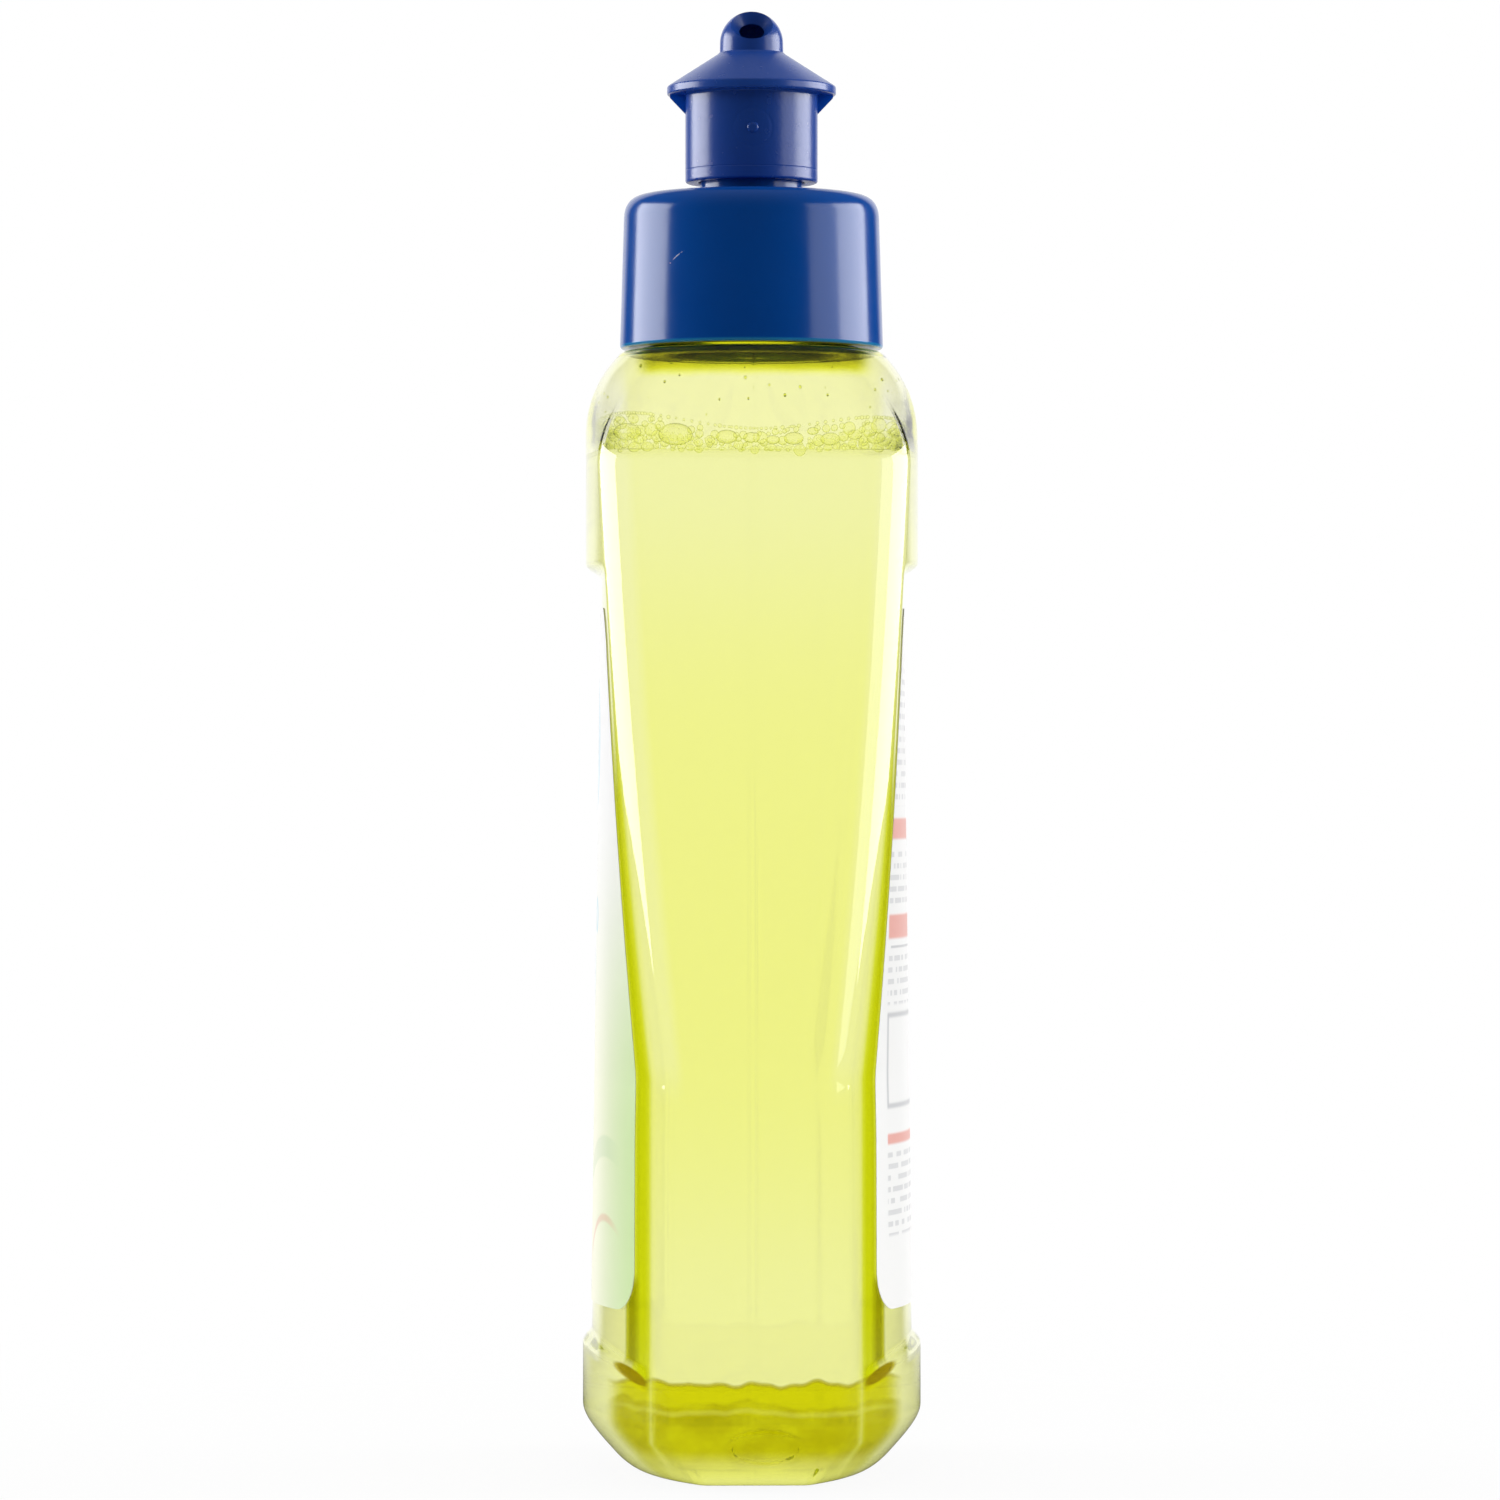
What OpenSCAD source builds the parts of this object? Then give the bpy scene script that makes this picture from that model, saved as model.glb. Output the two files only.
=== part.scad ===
// Rinse aid bottle: blown bottle with fill and labels, screw cap and push-pull spout.
// Narrow sides face +X and -X, the front label faces -Y, and it stands on z = 0.

/* [Body] */
// Width between the two narrow sides, below the crease
body_w = 63; // [56:0.5:70]
// Width between the narrow sides where the shoulder begins
shoulder_w = 40; // [37:0.5:44]
// Thickness through the bumper round the base
base_t = 43.3; // [42.2:0.1:46]
// Thickness at the foot of the label panels
label_low_t = 41; // [39.5:0.1:42]
// Thickness at the head of the label panels
label_top_t = 38.4; // [38:0.1:40]
// Thickness through the band above the label panels
band_t = 42.6; // [41:0.1:44]
// Width of a narrow side, below the crease
side_low_w = 26.5; // [22:0.5:30]
// Width of a narrow side where the shoulder begins
side_top_w = 39.6; // [37:0.1:40.6]
// Outward bow of each edge of a narrow side
side_bow = 0.66; // [0:0.02:1]
// Roundness of the label panels, 2 for a parabola
face_power = 2.3; // [2:0.1:3]
// Width of a rounded corner as seen on the narrow side, below the crease
corner_low = 5.5; // [4:0.1:7]
// Width of a rounded corner as seen on the narrow side, above the crease
corner_top = 6; // [4:0.1:7]
// Depth of a corner for each millimetre of its width
corner_depth = 0.68; // [0.5:0.01:0.8]
// Angle that a corner turns through before it meets the label panel
corner_turn = 66; // [55:1:75]
// Height of the crease where the narrow sides start to lean in
crease_z = 51; // [44:0.5:60]
// Half the height over which the crease is rounded
crease_soft = 4; // [2:0.5:6]
// Thickness of the blown wall
wall = 0.8; // [0.6:0.05:1.2]

/* [Base and shoulder] */
// Height of the heel below the bumper
heel_h = 8.6; // [7:0.1:10]
// Softness of the turn from the bumper into the heel
heel_soft = 2.6; // [1.5:0.1:4]
// Width of the flat ring that it stands on
stand_w = 2; // [1:0.1:3]
// Depth of the hollow under the base
push_up = 3; // [1:0.1:5]
// Thickness of the base
base_wall = 0.9; // [0.8:0.05:2.4]
// Height of the step from the bumper to the label panels
base_step_z = 17.25; // [16:0.05:19]
// Height that the lower step takes
base_step_h = 1.9; // [1.2:0.1:2.6]
// Dip of the lower step towards the corners
base_step_dip = 4; // [0:0.1:5]
// Height of the step from the label panels to the band
band_step_z = 114.9; // [110:0.1:118]
// Height that the upper step takes
band_step_h = 2; // [1.2:0.1:3]
// Height where the shoulder begins
shoulder_z = 132.5; // [130:0.1:136]
// Radius of the shoulder's arc
shoulder_r = 14.5; // [13:0.1:17]
// Height of the shoulder
shoulder_h = 10.7; // [9.5:0.1:11.5]

/* [Neck] */
// Diameter of the neck, under its thread
neck_d = 25.2; // [24.6:0.1:26]
// Diameter of the mouth
mouth_d = 21.6; // [20:0.1:22.4]
// Height of the neck above the shoulder
neck_h = 17.6; // [15:0.1:20]
// Fillet between the neck and the shoulder
neck_fillet = 0.8; // [0.3:0.1:1]
// Diameter of the bead round the neck
bead_d = 26.8; // [26.2:0.1:27.2]
// Height of the bead above the shoulder
bead_rise = 2.2; // [1.5:0.1:4]
// Height of the bead itself
bead_h = 1.4; // [1:0.1:2]

/* [Cap] */
// Diameter of the cap at its lower rim
cap_d = 33.8; // [32:0.1:36]
// Diameter of the cap under its upper corner
cap_top_d = 32.6; // [31.5:0.1:33.5]
// Radius of the cap's upper corner
cap_corner = 3; // [1:0.1:4]
// Diameter inside the skirt, at the crests of its thread
cap_bore_d = 28; // [27.6:0.1:28.6]
// Thickness of the cap's top
cap_wall = 1.5; // [1:0.1:2]
// Gap between the cap's lower rim and the shoulder
cap_gap = 0.4; // [0.3:0.05:1]
// Chamfer on the cap's lower rim
rim_chamfer = 0.3; // [0.1:0.05:0.6]
// Diameter of the low boss round the turret
boss_d = 15.5; // [14.5:0.1:17]
// Height of that boss
boss_h = 0.5; // [0.2:0.1:0.9]
// Outer diameter of the turret that guides the spout
turret_d = 13.2; // [12.6:0.05:13.3]
// Bore of the turret
turret_bore_d = 10.6; // [9.5:0.1:11]
// Height of the bead that keeps the spout on the turret
keeper_h = 1.2; // [0.8:0.1:1.6]
// Diameter of the valve pin
pin_d = 3.6; // [3:0.05:3.7]
// Length of the pin that reaches into the spout's throat
pin_reach = 2.9; // [2:0.1:3.2]
// Number of spokes that carry the pin
spokes = 3; // [3:1:5]
// Thickness of a spoke
spoke_w = 1.2; // [0.8:0.1:1.6]
// Height of a spoke
spoke_h = 3; // [2:0.1:4]

/* [Sealing wad] */
// Thickness of the wad between the mouth and the cap
wad_t = 1; // [0.6:0.1:1.5]
// Outer diameter of the wad
wad_d = 27; // [26:0.1:27.4]
// Hole through the wad
wad_hole_d = 17; // [14:0.1:19]

/* [Spout] */
// Outer diameter of the spout's sleeve
sleeve_d = 17; // [16.4:0.1:18]
// Bore of the sleeve
sleeve_bore_d = 14.4; // [14.3:0.05:14.8]
// Depth of the bore, up to the throat
sleeve_depth = 10.7; // [9.5:0.1:12]
// Gap between the sleeve's foot and the boss on the cap, pushed shut
spout_gap = 1.1; // [0.4:0.1:2]
// Travel of the spout from shut to open
spout_travel = 5.5; // [4.5:0.1:5.5]
// Height of the inner lip at the sleeve's foot
lip_h = 1.2; // [0.8:0.1:1.5]
// Thickness of the plate between the bore and the underside of the hat
plate_t = 0.6; // [0.4:0.1:1.2]
// Diameter of the hat
hat_d = 21.7; // [20:0.1:24]
// Height of the hat's upright rim
hat_rim_h = 1.05; // [0.7:0.05:1.5]
// Height of the hat's cone
hat_cone_h = 4.15; // [3:0.05:5]
// Diameter of the cone's upper end
cone_top_d = 8.8; // [8.4:0.1:9.4]
// Diameter of the dome
dome_d = 8.1; // [7.4:0.1:8.3]
// Height from the cone to the centre of the dome
dome_rise = 1.5; // [1:0.1:2.5]
// Thickness of the two webs under the hat
web_t = 0.8; // [0.5:0.1:1.2]
// Drop of the webs along the sleeve
web_drop = 2.4; // [1:0.1:3.5]
// Bore of the throat that the pin closes
throat_d = 4.1; // [3.9:0.05:4.4]
// Length of the throat
throat_l = 3.4; // [3:0.1:3.8]
// Diameter of the chamber in the dome
chamber_d = 4.8; // [4.5:0.1:5.2]
// Diameter of the outlet
outlet_d = 3.2; // [2.4:0.1:3.6]
// Diameter of the countersink round the outlet
outlet_rim_d = 5.4; // [4.6:0.1:5.8]
// Upward lean of the outlet
outlet_lean = 44; // [35:1:52]

/* [Fill] */
// Height of the liquid's surface
fill_z = 129; // [90:0.5:131]
// Gap between the liquid and the wall
fill_gap = 0.1; // [0.05:0.01:0.2]

/* [Labels] */
// Height of the labels' lower edge
label_foot_z = 21.8; // [20.5:0.1:30]
// Height of the labels' upper edge
label_head_z = 110; // [80:0.5:112]
// Margin between a label and the narrow sides
label_margin = 7; // [5:0.1:14]
// Radius of the labels' corners
label_corner = 5; // [1:0.1:8]
// Thickness of a label
label_t = 0.12; // [0.08:0.01:0.2]
// Film of glue behind a label
glue_t = 0.08; // [0.05:0.01:0.12]

/* [Clearances] */
// Clearance between the sleeve and the turret's keeper bead
slide_gap = 0.25; // [0.15:0.05:0.3]
// Clearance between the shut spout and the top of the turret
seat_gap = 0.2; // [0.1:0.05:0.4]
// Clearance between the lip and the keeper bead, fully open
stop_gap = 0.2; // [0.1:0.05:0.4]

/* [Hidden] */
$fn = 96;

// Heights up the closure, each taken from what carries it
land_z = shoulder_z + shoulder_h;
mouth_z = land_z + neck_h;
ceiling_z = mouth_z + wad_t;
cap_top_z = ceiling_z + cap_wall;
cap_rim_z = land_z + cap_gap;
sleeve_z = cap_top_z + boss_h + spout_gap;
throat_z = sleeve_z + sleeve_depth;
turret_top_z = throat_z - seat_gap;
keeper_z = sleeve_z + lip_h + spout_travel + stop_gap;
pin_top_z = throat_z + pin_reach;
hat_z = throat_z + plate_t;
cone_z = hat_z + hat_rim_h;
cone_top_z = cone_z + hat_cone_h;
dome_z = cone_top_z + dome_rise;
chamber_z = throat_z + throat_l;

// Radii of the fit between spout and turret
keeper_r = sleeve_bore_d / 2 - slide_gap;
lip_r = turret_d / 2 + slide_gap;

// Segments of a quarter of the body's outline: narrow side, corner, label panel
side_steps = 3;
corner_steps = 5;
face_steps = 6;
// Directions at which the side and the corner end where the shoulder turns round
side_end_a = 35;
corner_end_a = 51;
// Stretch of height over which the outline turns from square to round
round_from_z = shoulder_z - 4.5;
round_to_z = shoulder_z + 7.5;
// Stretch of height round the crease over which the corners widen
corner_from_z = crease_z - 9;
corner_to_z = crease_z + 5;
// Steepness of the hollow's side under the base
base_power = 2.5;
// Stretch above the lower step over which its dip fades out
dip_fade = 12;
// Rounding from the standing ring up into the heel
foot_edge = 2.3;
foot_rise = 2.2;
// Height over which the mouth of the blown shell overlaps the neck
neck_lap = 0.3;
// Rounding of the small moulded edges
edge = 0.25;
// Overlap of pieces that are moulded in one
sink = 0.4;

function clamp01(t) = min(max(t, 0), 1);
function mix(a, b, t) = a + (b - a) * t;
function smooth(t) = let (u = clamp01(t)) u * u * (3 - 2 * u);
// Zero below -r, d above r, and a parabola between them
function soft_ramp(d, r) = d <= -r ? 0 : d >= r ? d : pow(d + r, 2) / (4 * r);
// Points of an arc round [x, y], from angle a to angle b
function arc(x, y, r, a, b, n = 10) =
    [for (i = [0:n]) let (t = mix(a, b, i / n)) [x + r * cos(t), y + r * sin(t)]];

// How far the shoulder's arc has come in at height z
function shoulder_in(z) =
    z <= shoulder_z ? 0 : shoulder_r - sqrt(pow(shoulder_r, 2) - pow(z - shoulder_z, 2));
shoulder_drop = shoulder_in(land_z);
land_r = band_t / 2 - shoulder_drop;
lean = (body_w - shoulder_w) / 2 / (shoulder_z - crease_z);
function side_x(z) = body_w / 2 - lean * soft_ramp(z - crease_z, crease_soft);
// Half width of the body
function half_w(z) =
    mix(side_x(z), side_x(z) + land_r - side_x(land_z), shoulder_in(z) / shoulder_drop);
function climb(z) = clamp01((z - crease_z) / (shoulder_z - crease_z));
// Half width of a narrow side, out to the edge where its corner meets the label panel
function side_half(z) =
    let (t = climb(z))
    mix(side_low_w, side_top_w, t) / 2 + 4 * side_bow * t * (1 - t) - shoulder_in(z);
// Half thickness at the middle of the label panels
function half_t(z) =
    let (low = smooth((z - base_step_z) / base_step_h + 0.5))
    let (high = smooth((z - band_step_z) / band_step_h + 0.5))
    let (t = clamp01((z - base_step_z) / (band_step_z - base_step_z)))
    let (panel = mix(label_low_t, label_top_t, t))
    mix(mix(base_t, panel, low), band_t, high) / 2 - shoulder_in(z);
// Half thickness of a label panel at x, for half width a, side s and middle t
function face_y(x, a, s, t) = s + (t - s) * (1 - pow(x / a, face_power));
function corner_set(z) =
    mix(corner_low, corner_top, smooth((z - corner_from_z) / (corner_to_z - corner_from_z)));
// Where the face's curve would meet the narrow side, if the corner were sharp
function face_edge(z) =
    let (q = 1 - pow(1 - corner_set(z) * corner_depth / half_w(z), face_power))
    (side_half(z) - half_t(z) * q) / (1 - q);
// Width of a corner at height z where the outline is set in by g
function corner_at(z, g) = max(corner_set(z) - 0.9 * g, 0.3 * corner_set(z));
// Inset of the heel at height z
function heel_in(z, soft) =
    let (d = max(heel_h - z, 0))
    sqrt(d * d + soft * soft) - soft;

// A quarter of the outline at height z, set in by g, from the middle of the side to the middle of the face
function quarter(z, g) =
    let (a0 = half_w(z))
    let (s0 = face_edge(z))
    let (t0 = half_t(z))
    let (slope = face_power * (t0 - s0) / a0)
    let (a = a0 - g)
    let (t = t0 - g)
    let (s = s0 + g * (slope - sqrt(1 + slope * slope)))
    let (c = corner_at(z, g))
    let (d = c * corner_depth)
    let (end = [a - d, face_y(a - d, a, s, t)])
    let (start = [a, end.y - c])
    let (tip = [a, end.y - d / tan(corner_turn)])
    concat(
        [for (i = [0:side_steps]) [a, start.y * i / side_steps]],
        [for (i = [1:corner_steps])
            let (u = i / corner_steps)
            mix(mix(start, tip, u), mix(tip, end, u), u)],
        [for (i = [1:face_steps])
            let (x = end.x * (1 - i / face_steps))
            [x, face_y(x, a, s, t)]]);

// Direction of each point of a quarter on the round shoulder
function turn(i) =
    i <= side_steps ? side_end_a * i / side_steps :
    i <= side_steps + corner_steps ?
        mix(side_end_a, corner_end_a, (i - side_steps) / corner_steps) :
        mix(corner_end_a, 90, (i - side_steps - corner_steps) / face_steps);

function rounded_quarter(z, g) =
    let (w = smooth((z - round_from_z) / (round_to_z - round_from_z)))
    let (q = quarter(z, g))
    [for (i = [0:len(q) - 1])
        let (e = [(half_w(z) - g) * cos(turn(i)), (half_t(z) - g) * sin(turn(i))])
        mix(q[i], e, w)];

function circle_quarter(r) =
    [for (i = [0:side_steps + corner_steps + face_steps]) r * [cos(turn(i)), sin(turn(i))]];

// The whole outline from its quarter, anticlockwise seen from above
function whole(q) =
    let (n = len(q) - 1)
    concat(
        [for (i = [0:n - 1]) q[i]],
        [for (i = [0:n - 1]) [-q[n - i].x, q[n - i].y]],
        [for (i = [0:n - 1]) -q[i]],
        [for (i = [0:n - 1]) [q[n - i].x, -q[n - i].y]]);

// How far the lower step's dip moves a point at height z
function dip(z) =
    let (foot = base_step_z - base_step_h / 2)
    let (head = base_step_z + base_step_h / 2)
    base_step_dip * smooth((z - heel_h) / (foot - heel_h)) * (1 - smooth((z - head) / dip_fade));

// Outline at height z in space, with the dip towards the corners
function ring(z, g = 0) =
    [for (p = whole(rounded_quarter(z, g))) [p.x, p.y, z - dip(z) * pow(p.x / half_w(z), 2)]];
function flat_ring(q, z) = [for (p = whole(q)) [p.x, p.y, z]];

// Heights of the outlines, close together where the form turns
function steps(from, to, n) = [for (i = [1:n]) mix(from, to, i / n)];
panel_foot_z = base_step_z + base_step_h / 2;
panel_head_z = band_step_z - band_step_h / 2;
body_zs = concat(
    [heel_h, mix(heel_h, base_step_z - base_step_h / 2, 0.5)],
    steps(base_step_z - 0.75 * base_step_h, panel_foot_z, 5),
    steps(panel_foot_z, crease_z - crease_soft, 4),
    steps(crease_z - crease_soft, crease_z + crease_soft, 3),
    steps(crease_z + crease_soft, panel_head_z, 7),
    steps(panel_head_z, band_step_z + band_step_h / 2, 4),
    steps(band_step_z + band_step_h / 2, round_from_z, 2),
    steps(round_from_z, land_z, 9));
inner_zs = concat(
    [heel_h, mix(heel_h, base_step_z - base_step_h / 2, 0.5)],
    steps(base_step_z - 0.75 * base_step_h, panel_foot_z, 4),
    steps(panel_foot_z, crease_z - crease_soft, 3),
    steps(crease_z - crease_soft, crease_z + crease_soft, 2),
    steps(crease_z + crease_soft, panel_head_z, 5),
    steps(panel_head_z, band_step_z + band_step_h / 2, 3),
    steps(band_step_z + band_step_h / 2, round_from_z, 1));

// Hollow of the base: outline at its edge, drawn in towards the middle
function base_rings(q, z, rise) =
    [for (k = [0.5, 0.8, 0.92, 1]) flat_ring([for (p = q) k * p], z + rise * (1 - pow(k, base_power)))];
heel_steps = 4;
function heel_rings(g, floor_z) =
    [for (i = [0:heel_steps - 1])
        let (z = mix(floor_z, heel_h, i / heel_steps))
        flat_ring(quarter(0, heel_in(z, heel_soft) + g), z)];

// Rounded foot from the edge of the standing ring up into the heel
function foot_rings(g, edge_in, floor_z) =
    let (end_in = heel_in(floor_z + foot_rise, heel_soft) + g)
    [for (k = [0.35, 0.7])
        flat_ring(quarter(0, mix(edge_in, end_in, k)), floor_z + foot_rise * k * k)];

// Closed surface through outlines of equal length, with a point at each end
module skin(rings, first, last) {
    n = len(rings[0]);
    m = len(rings);
    points = concat([first], [for (r = rings) each r], [last]);
    end = len(points) - 1;
    function at(r, i) = 1 + r * n + i % n;
    polyhedron(points, concat(
        [for (i = [0:n - 1]) [0, at(0, i), at(0, i + 1)]],
        [for (r = [0:m - 2]) for (i = [0:n - 1]) each [
            [at(r, i), at(r + 1, i), at(r + 1, i + 1)],
            [at(r, i), at(r + 1, i + 1), at(r, i + 1)]]],
        [for (i = [0:n - 1]) [end, at(m - 1, i + 1), at(m - 1, i)]]));
}

// Closed sheet between two grids of points of equal size
module sheet(front, back) {
    rows = len(front);
    cols = len(front[0]);
    points = concat([for (r = front) each r], [for (r = back) each r]);
    function at(side, r, c) = side * rows * cols + r * cols + c;
    function quad(a, b, c, d) = [[a, b, c], [a, c, d]];
    polyhedron(points, concat(
        [for (r = [0:rows - 2]) for (c = [0:cols - 2])
            each quad(at(0, r, c), at(0, r + 1, c), at(0, r + 1, c + 1), at(0, r, c + 1))],
        [for (r = [0:rows - 2]) for (c = [0:cols - 2])
            each quad(at(1, r, c), at(1, r, c + 1), at(1, r + 1, c + 1), at(1, r + 1, c))],
        [for (c = [0:cols - 2]) each concat(
            quad(at(0, 0, c), at(0, 0, c + 1), at(1, 0, c + 1), at(1, 0, c)),
            quad(at(0, rows - 1, c), at(1, rows - 1, c), at(1, rows - 1, c + 1), at(0, rows - 1, c + 1)))],
        [for (r = [0:rows - 2]) each concat(
            quad(at(0, r, 0), at(1, r, 0), at(1, r + 1, 0), at(0, r + 1, 0)),
            quad(at(0, r, cols - 1), at(0, r + 1, cols - 1),
                at(1, r + 1, cols - 1), at(1, r, cols - 1)))]));
}

// Radius at which the blown shell ends, inside the neck's wall
shell_mouth_r = (neck_d + mouth_d) / 4;

// Blown shell, from the middle of the base up the outside and down the inside
module blown_shell() {
    foot_in = heel_in(0, heel_soft) + foot_edge;
    stand_q = quarter(0, foot_in + stand_w);
    outside = concat(
        base_rings(stand_q, 0, push_up),
        [flat_ring(quarter(0, foot_in), 0)],
        foot_rings(0, foot_in, 0),
        heel_rings(0, foot_rise),
        [for (z = body_zs) ring(z)],
        [for (r = [land_r - sink, shell_mouth_r]) flat_ring(circle_quarter(r), land_z)]);
    inside = concat(
        base_rings(stand_q, base_wall, push_up),
        foot_rings(wall, foot_in + stand_w, base_wall),
        heel_rings(wall, base_wall + foot_rise),
        [for (z = inner_zs) ring(z, wall)],
        [for (z = steps(round_from_z, land_z - wall, 7)) ring(z, wall)],
        [flat_ring(circle_quarter(shell_mouth_r), land_z - wall)]);
    m = len(inside);
    skin(
        concat(outside, [for (i = [1:m]) inside[m - i]]),
        [0, 0, push_up],
        [0, 0, push_up + base_wall]);
}

// Neck with its rolled foot, bead and mouth, without its thread
module neck() {
    r = neck_d / 2;
    bore = mouth_d / 2;
    bead_z = land_z + bead_rise;
    foot_z = land_z - wall - neck_lap;
    rotate_extrude() polygon(concat(
        [[bore, foot_z], [r, foot_z], [r, land_z - wall / 2], [r + neck_fillet, land_z - wall / 2]],
        arc(r + neck_fillet, land_z + neck_fillet, neck_fillet, 270, 180, 6),
        [[r, bead_z], [bead_d / 2 - edge, bead_z + edge]],
        [[bead_d / 2, bead_z + bead_h / 2], [bead_d / 2 - edge, bead_z + bead_h - edge]],
        [[r, bead_z + bead_h], [r, mouth_z - edge], [r - edge, mouth_z]],
        [[bore + edge, mouth_z], [bore, mouth_z - edge]]));
}

module bottle() {
    color([0.87, 0.89, 0.3, 0.55]) union() {
        blown_shell();
        neck();
    }
}

// Liquid that fills the bottle up to its surface
module liquid() {
    g = wall + fill_gap;
    floor_z = base_wall + fill_gap;
    stand_in = heel_in(0, heel_soft) + foot_edge + stand_w;
    zs = [for (z = inner_zs) if (z < fill_z - 1) z];
    color([0.93, 0.94, 0.55, 0.5]) skin(
        concat(
            base_rings(quarter(0, stand_in), floor_z, push_up),
            foot_rings(g, stand_in, floor_z),
            heel_rings(g, floor_z + foot_rise),
            [for (z = zs) ring(z, g)],
            [flat_ring(rounded_quarter(fill_z, g), fill_z)]),
        [0, 0, push_up + floor_z],
        [0, 0, fill_z]);
}

module seal_wad() {
    color([0.94, 0.94, 0.92]) translate([0, 0, mouth_z]) difference() {
        cylinder(d = wad_d, h = wad_t);
        translate([0, 0, -wad_t]) cylinder(d = wad_hole_d, h = 3 * wad_t);
    }
}

// Screw cap in one with the turret, its spokes and the valve pin
module closure() {
    turret_r = turret_d / 2;
    bore = turret_bore_d / 2;
    top_r = cap_top_d / 2;
    boss_z = cap_top_z + boss_h;
    keeper_top_z = keeper_z + keeper_h;
    color([0.02, 0.2, 0.48]) union() {
        rotate_extrude() polygon(concat(
            [[bore, ceiling_z], [cap_bore_d / 2, ceiling_z], [cap_bore_d / 2, cap_rim_z]],
            [[cap_d / 2 - rim_chamfer, cap_rim_z], [cap_d / 2, cap_rim_z + rim_chamfer]],
            arc(top_r - cap_corner, cap_top_z - cap_corner, cap_corner, 0, 90),
            [[boss_d / 2, cap_top_z], [boss_d / 2, boss_z - edge], [boss_d / 2 - edge, boss_z]],
            [[turret_r, boss_z], [turret_r, keeper_z], [keeper_r, keeper_z + edge]],
            [[keeper_r, keeper_top_z - edge], [turret_r, keeper_top_z]],
            [[turret_r, turret_top_z - edge], [turret_r - edge, turret_top_z], [bore, turret_top_z]]));
        for (i = [0:spokes - 1])
            rotate(i * 360 / spokes)
                translate([0, -spoke_w / 2, turret_top_z - spoke_h])
                    cube([bore + sink, spoke_w, spoke_h]);
        translate([0, 0, turret_top_z - spoke_h])
            cylinder(d = pin_d, h = pin_top_z - turret_top_z + spoke_h - sink);
        translate([0, 0, pin_top_z - sink])
            cylinder(d1 = pin_d, d2 = pin_d - 2 * sink, h = sink);
    }
}

// Push-pull spout: sleeve, hat with two webs under it, and dome with a slanting outlet
module spout() {
    sleeve_r = sleeve_d / 2;
    bore = sleeve_bore_d / 2;
    hat_r = hat_d / 2;
    dome_r = dome_d / 2;
    rim_r = outlet_rim_d / 2;
    // Distance from the dome's centre to the countersink's edge and to its floor
    rim_at = sqrt(pow(dome_r, 2) - pow(rim_r, 2));
    floor_at = rim_at - (outlet_rim_d - outlet_d) / 2;
    color([0.08, 0.15, 0.38]) difference() {
        union() {
            rotate_extrude() polygon([
                [lip_r, sleeve_z], [sleeve_r - edge, sleeve_z], [sleeve_r, sleeve_z + edge],
                [sleeve_r, hat_z], [hat_r - edge, hat_z], [hat_r, hat_z + edge],
                [hat_r, cone_z - edge], [hat_r - edge, cone_z],
                [cone_top_d / 2, cone_top_z], [dome_r, cone_top_z + edge],
                [dome_r, dome_z], [0, dome_z], [0, throat_z], [bore, throat_z],
                [bore, sleeve_z + lip_h], [lip_r, sleeve_z + lip_h - edge]]);
            translate([0, 0, dome_z]) sphere(d = dome_d);
            for (side = [-1, 1])
                rotate([90, 0, side * 90])
                    linear_extrude(web_t, center = true)
                        polygon([
                            [sleeve_r - sink, hat_z + sink], [hat_r - edge, hat_z + sink],
                            [hat_r - edge, hat_z - edge], [sleeve_r, hat_z - web_drop],
                            [sleeve_r - sink, hat_z - web_drop]]);
        }
        translate([0, 0, throat_z - 1]) cylinder(d = throat_d, h = throat_l + 2);
        translate([0, 0, chamber_z]) cylinder(d = chamber_d, h = dome_z - chamber_z);
        translate([0, 0, dome_z]) sphere(d = chamber_d);
        translate([0, 0, dome_z]) rotate([0, 90 - outlet_lean, 0]) {
            cylinder(d = outlet_d, h = dome_d);
            translate([0, 0, floor_at])
                cylinder(d1 = outlet_d, d2 = outlet_rim_d, h = rim_at - floor_at);
            translate([0, 0, rim_at]) cylinder(d = outlet_rim_d, h = dome_d);
        }
    }
}

function label_half_w(z) = half_w(z) - label_margin;
// Point of a label panel's surface at share f of the label's half width, set out by g
function panel_point(f, z, g) =
    let (x = f * label_half_w(z))
    let (a = half_w(z))
    let (s = face_edge(z))
    let (t = half_t(z))
    let (slope = face_power * (t - s) / a * pow(abs(x) / a, face_power - 1))
    let (n = [sign(f) * slope, 1] / sqrt(1 + slope * slope))
    [x + g * n.x, face_y(abs(x), a, s, t) + g * n.y, z];

label_cols = 14;
label_rows = 12;
// Points of one face of a label, with its corners rounded
function label_grid(g) =
    [for (r = [0:label_rows]) [for (c = [0:label_cols])
        let (f = mix(-1, 1, smooth_ends(c / label_cols)))
        let (from_edge = (1 - abs(f)) * label_half_w(label_foot_z))
        let (u = clamp01(1 - from_edge / label_corner))
        let (cut = label_corner * (1 - sqrt(1 - 0.998 * u * u)))
        panel_point(f, mix(label_foot_z + cut, label_head_z - cut, r / label_rows), g)]];
// Columns closer together towards both ends
function smooth_ends(t) = mix(t, smooth(t), 0.7);

module label(side) {
    mirror([0, side < 0 ? 1 : 0, 0])
        sheet(label_grid(glue_t), label_grid(glue_t + label_t));
}
module front_label() {
    color([0.88, 0.94, 0.76]) label(-1);
}
module back_label() {
    color([0.96, 0.96, 0.95]) label(1);
}

bottle();
liquid();
seal_wad();
closure();
spout();
front_label();
back_label();
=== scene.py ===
import math
import random

import bmesh
import bpy
import numpy as np
from mathutils import Matrix, Vector


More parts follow.
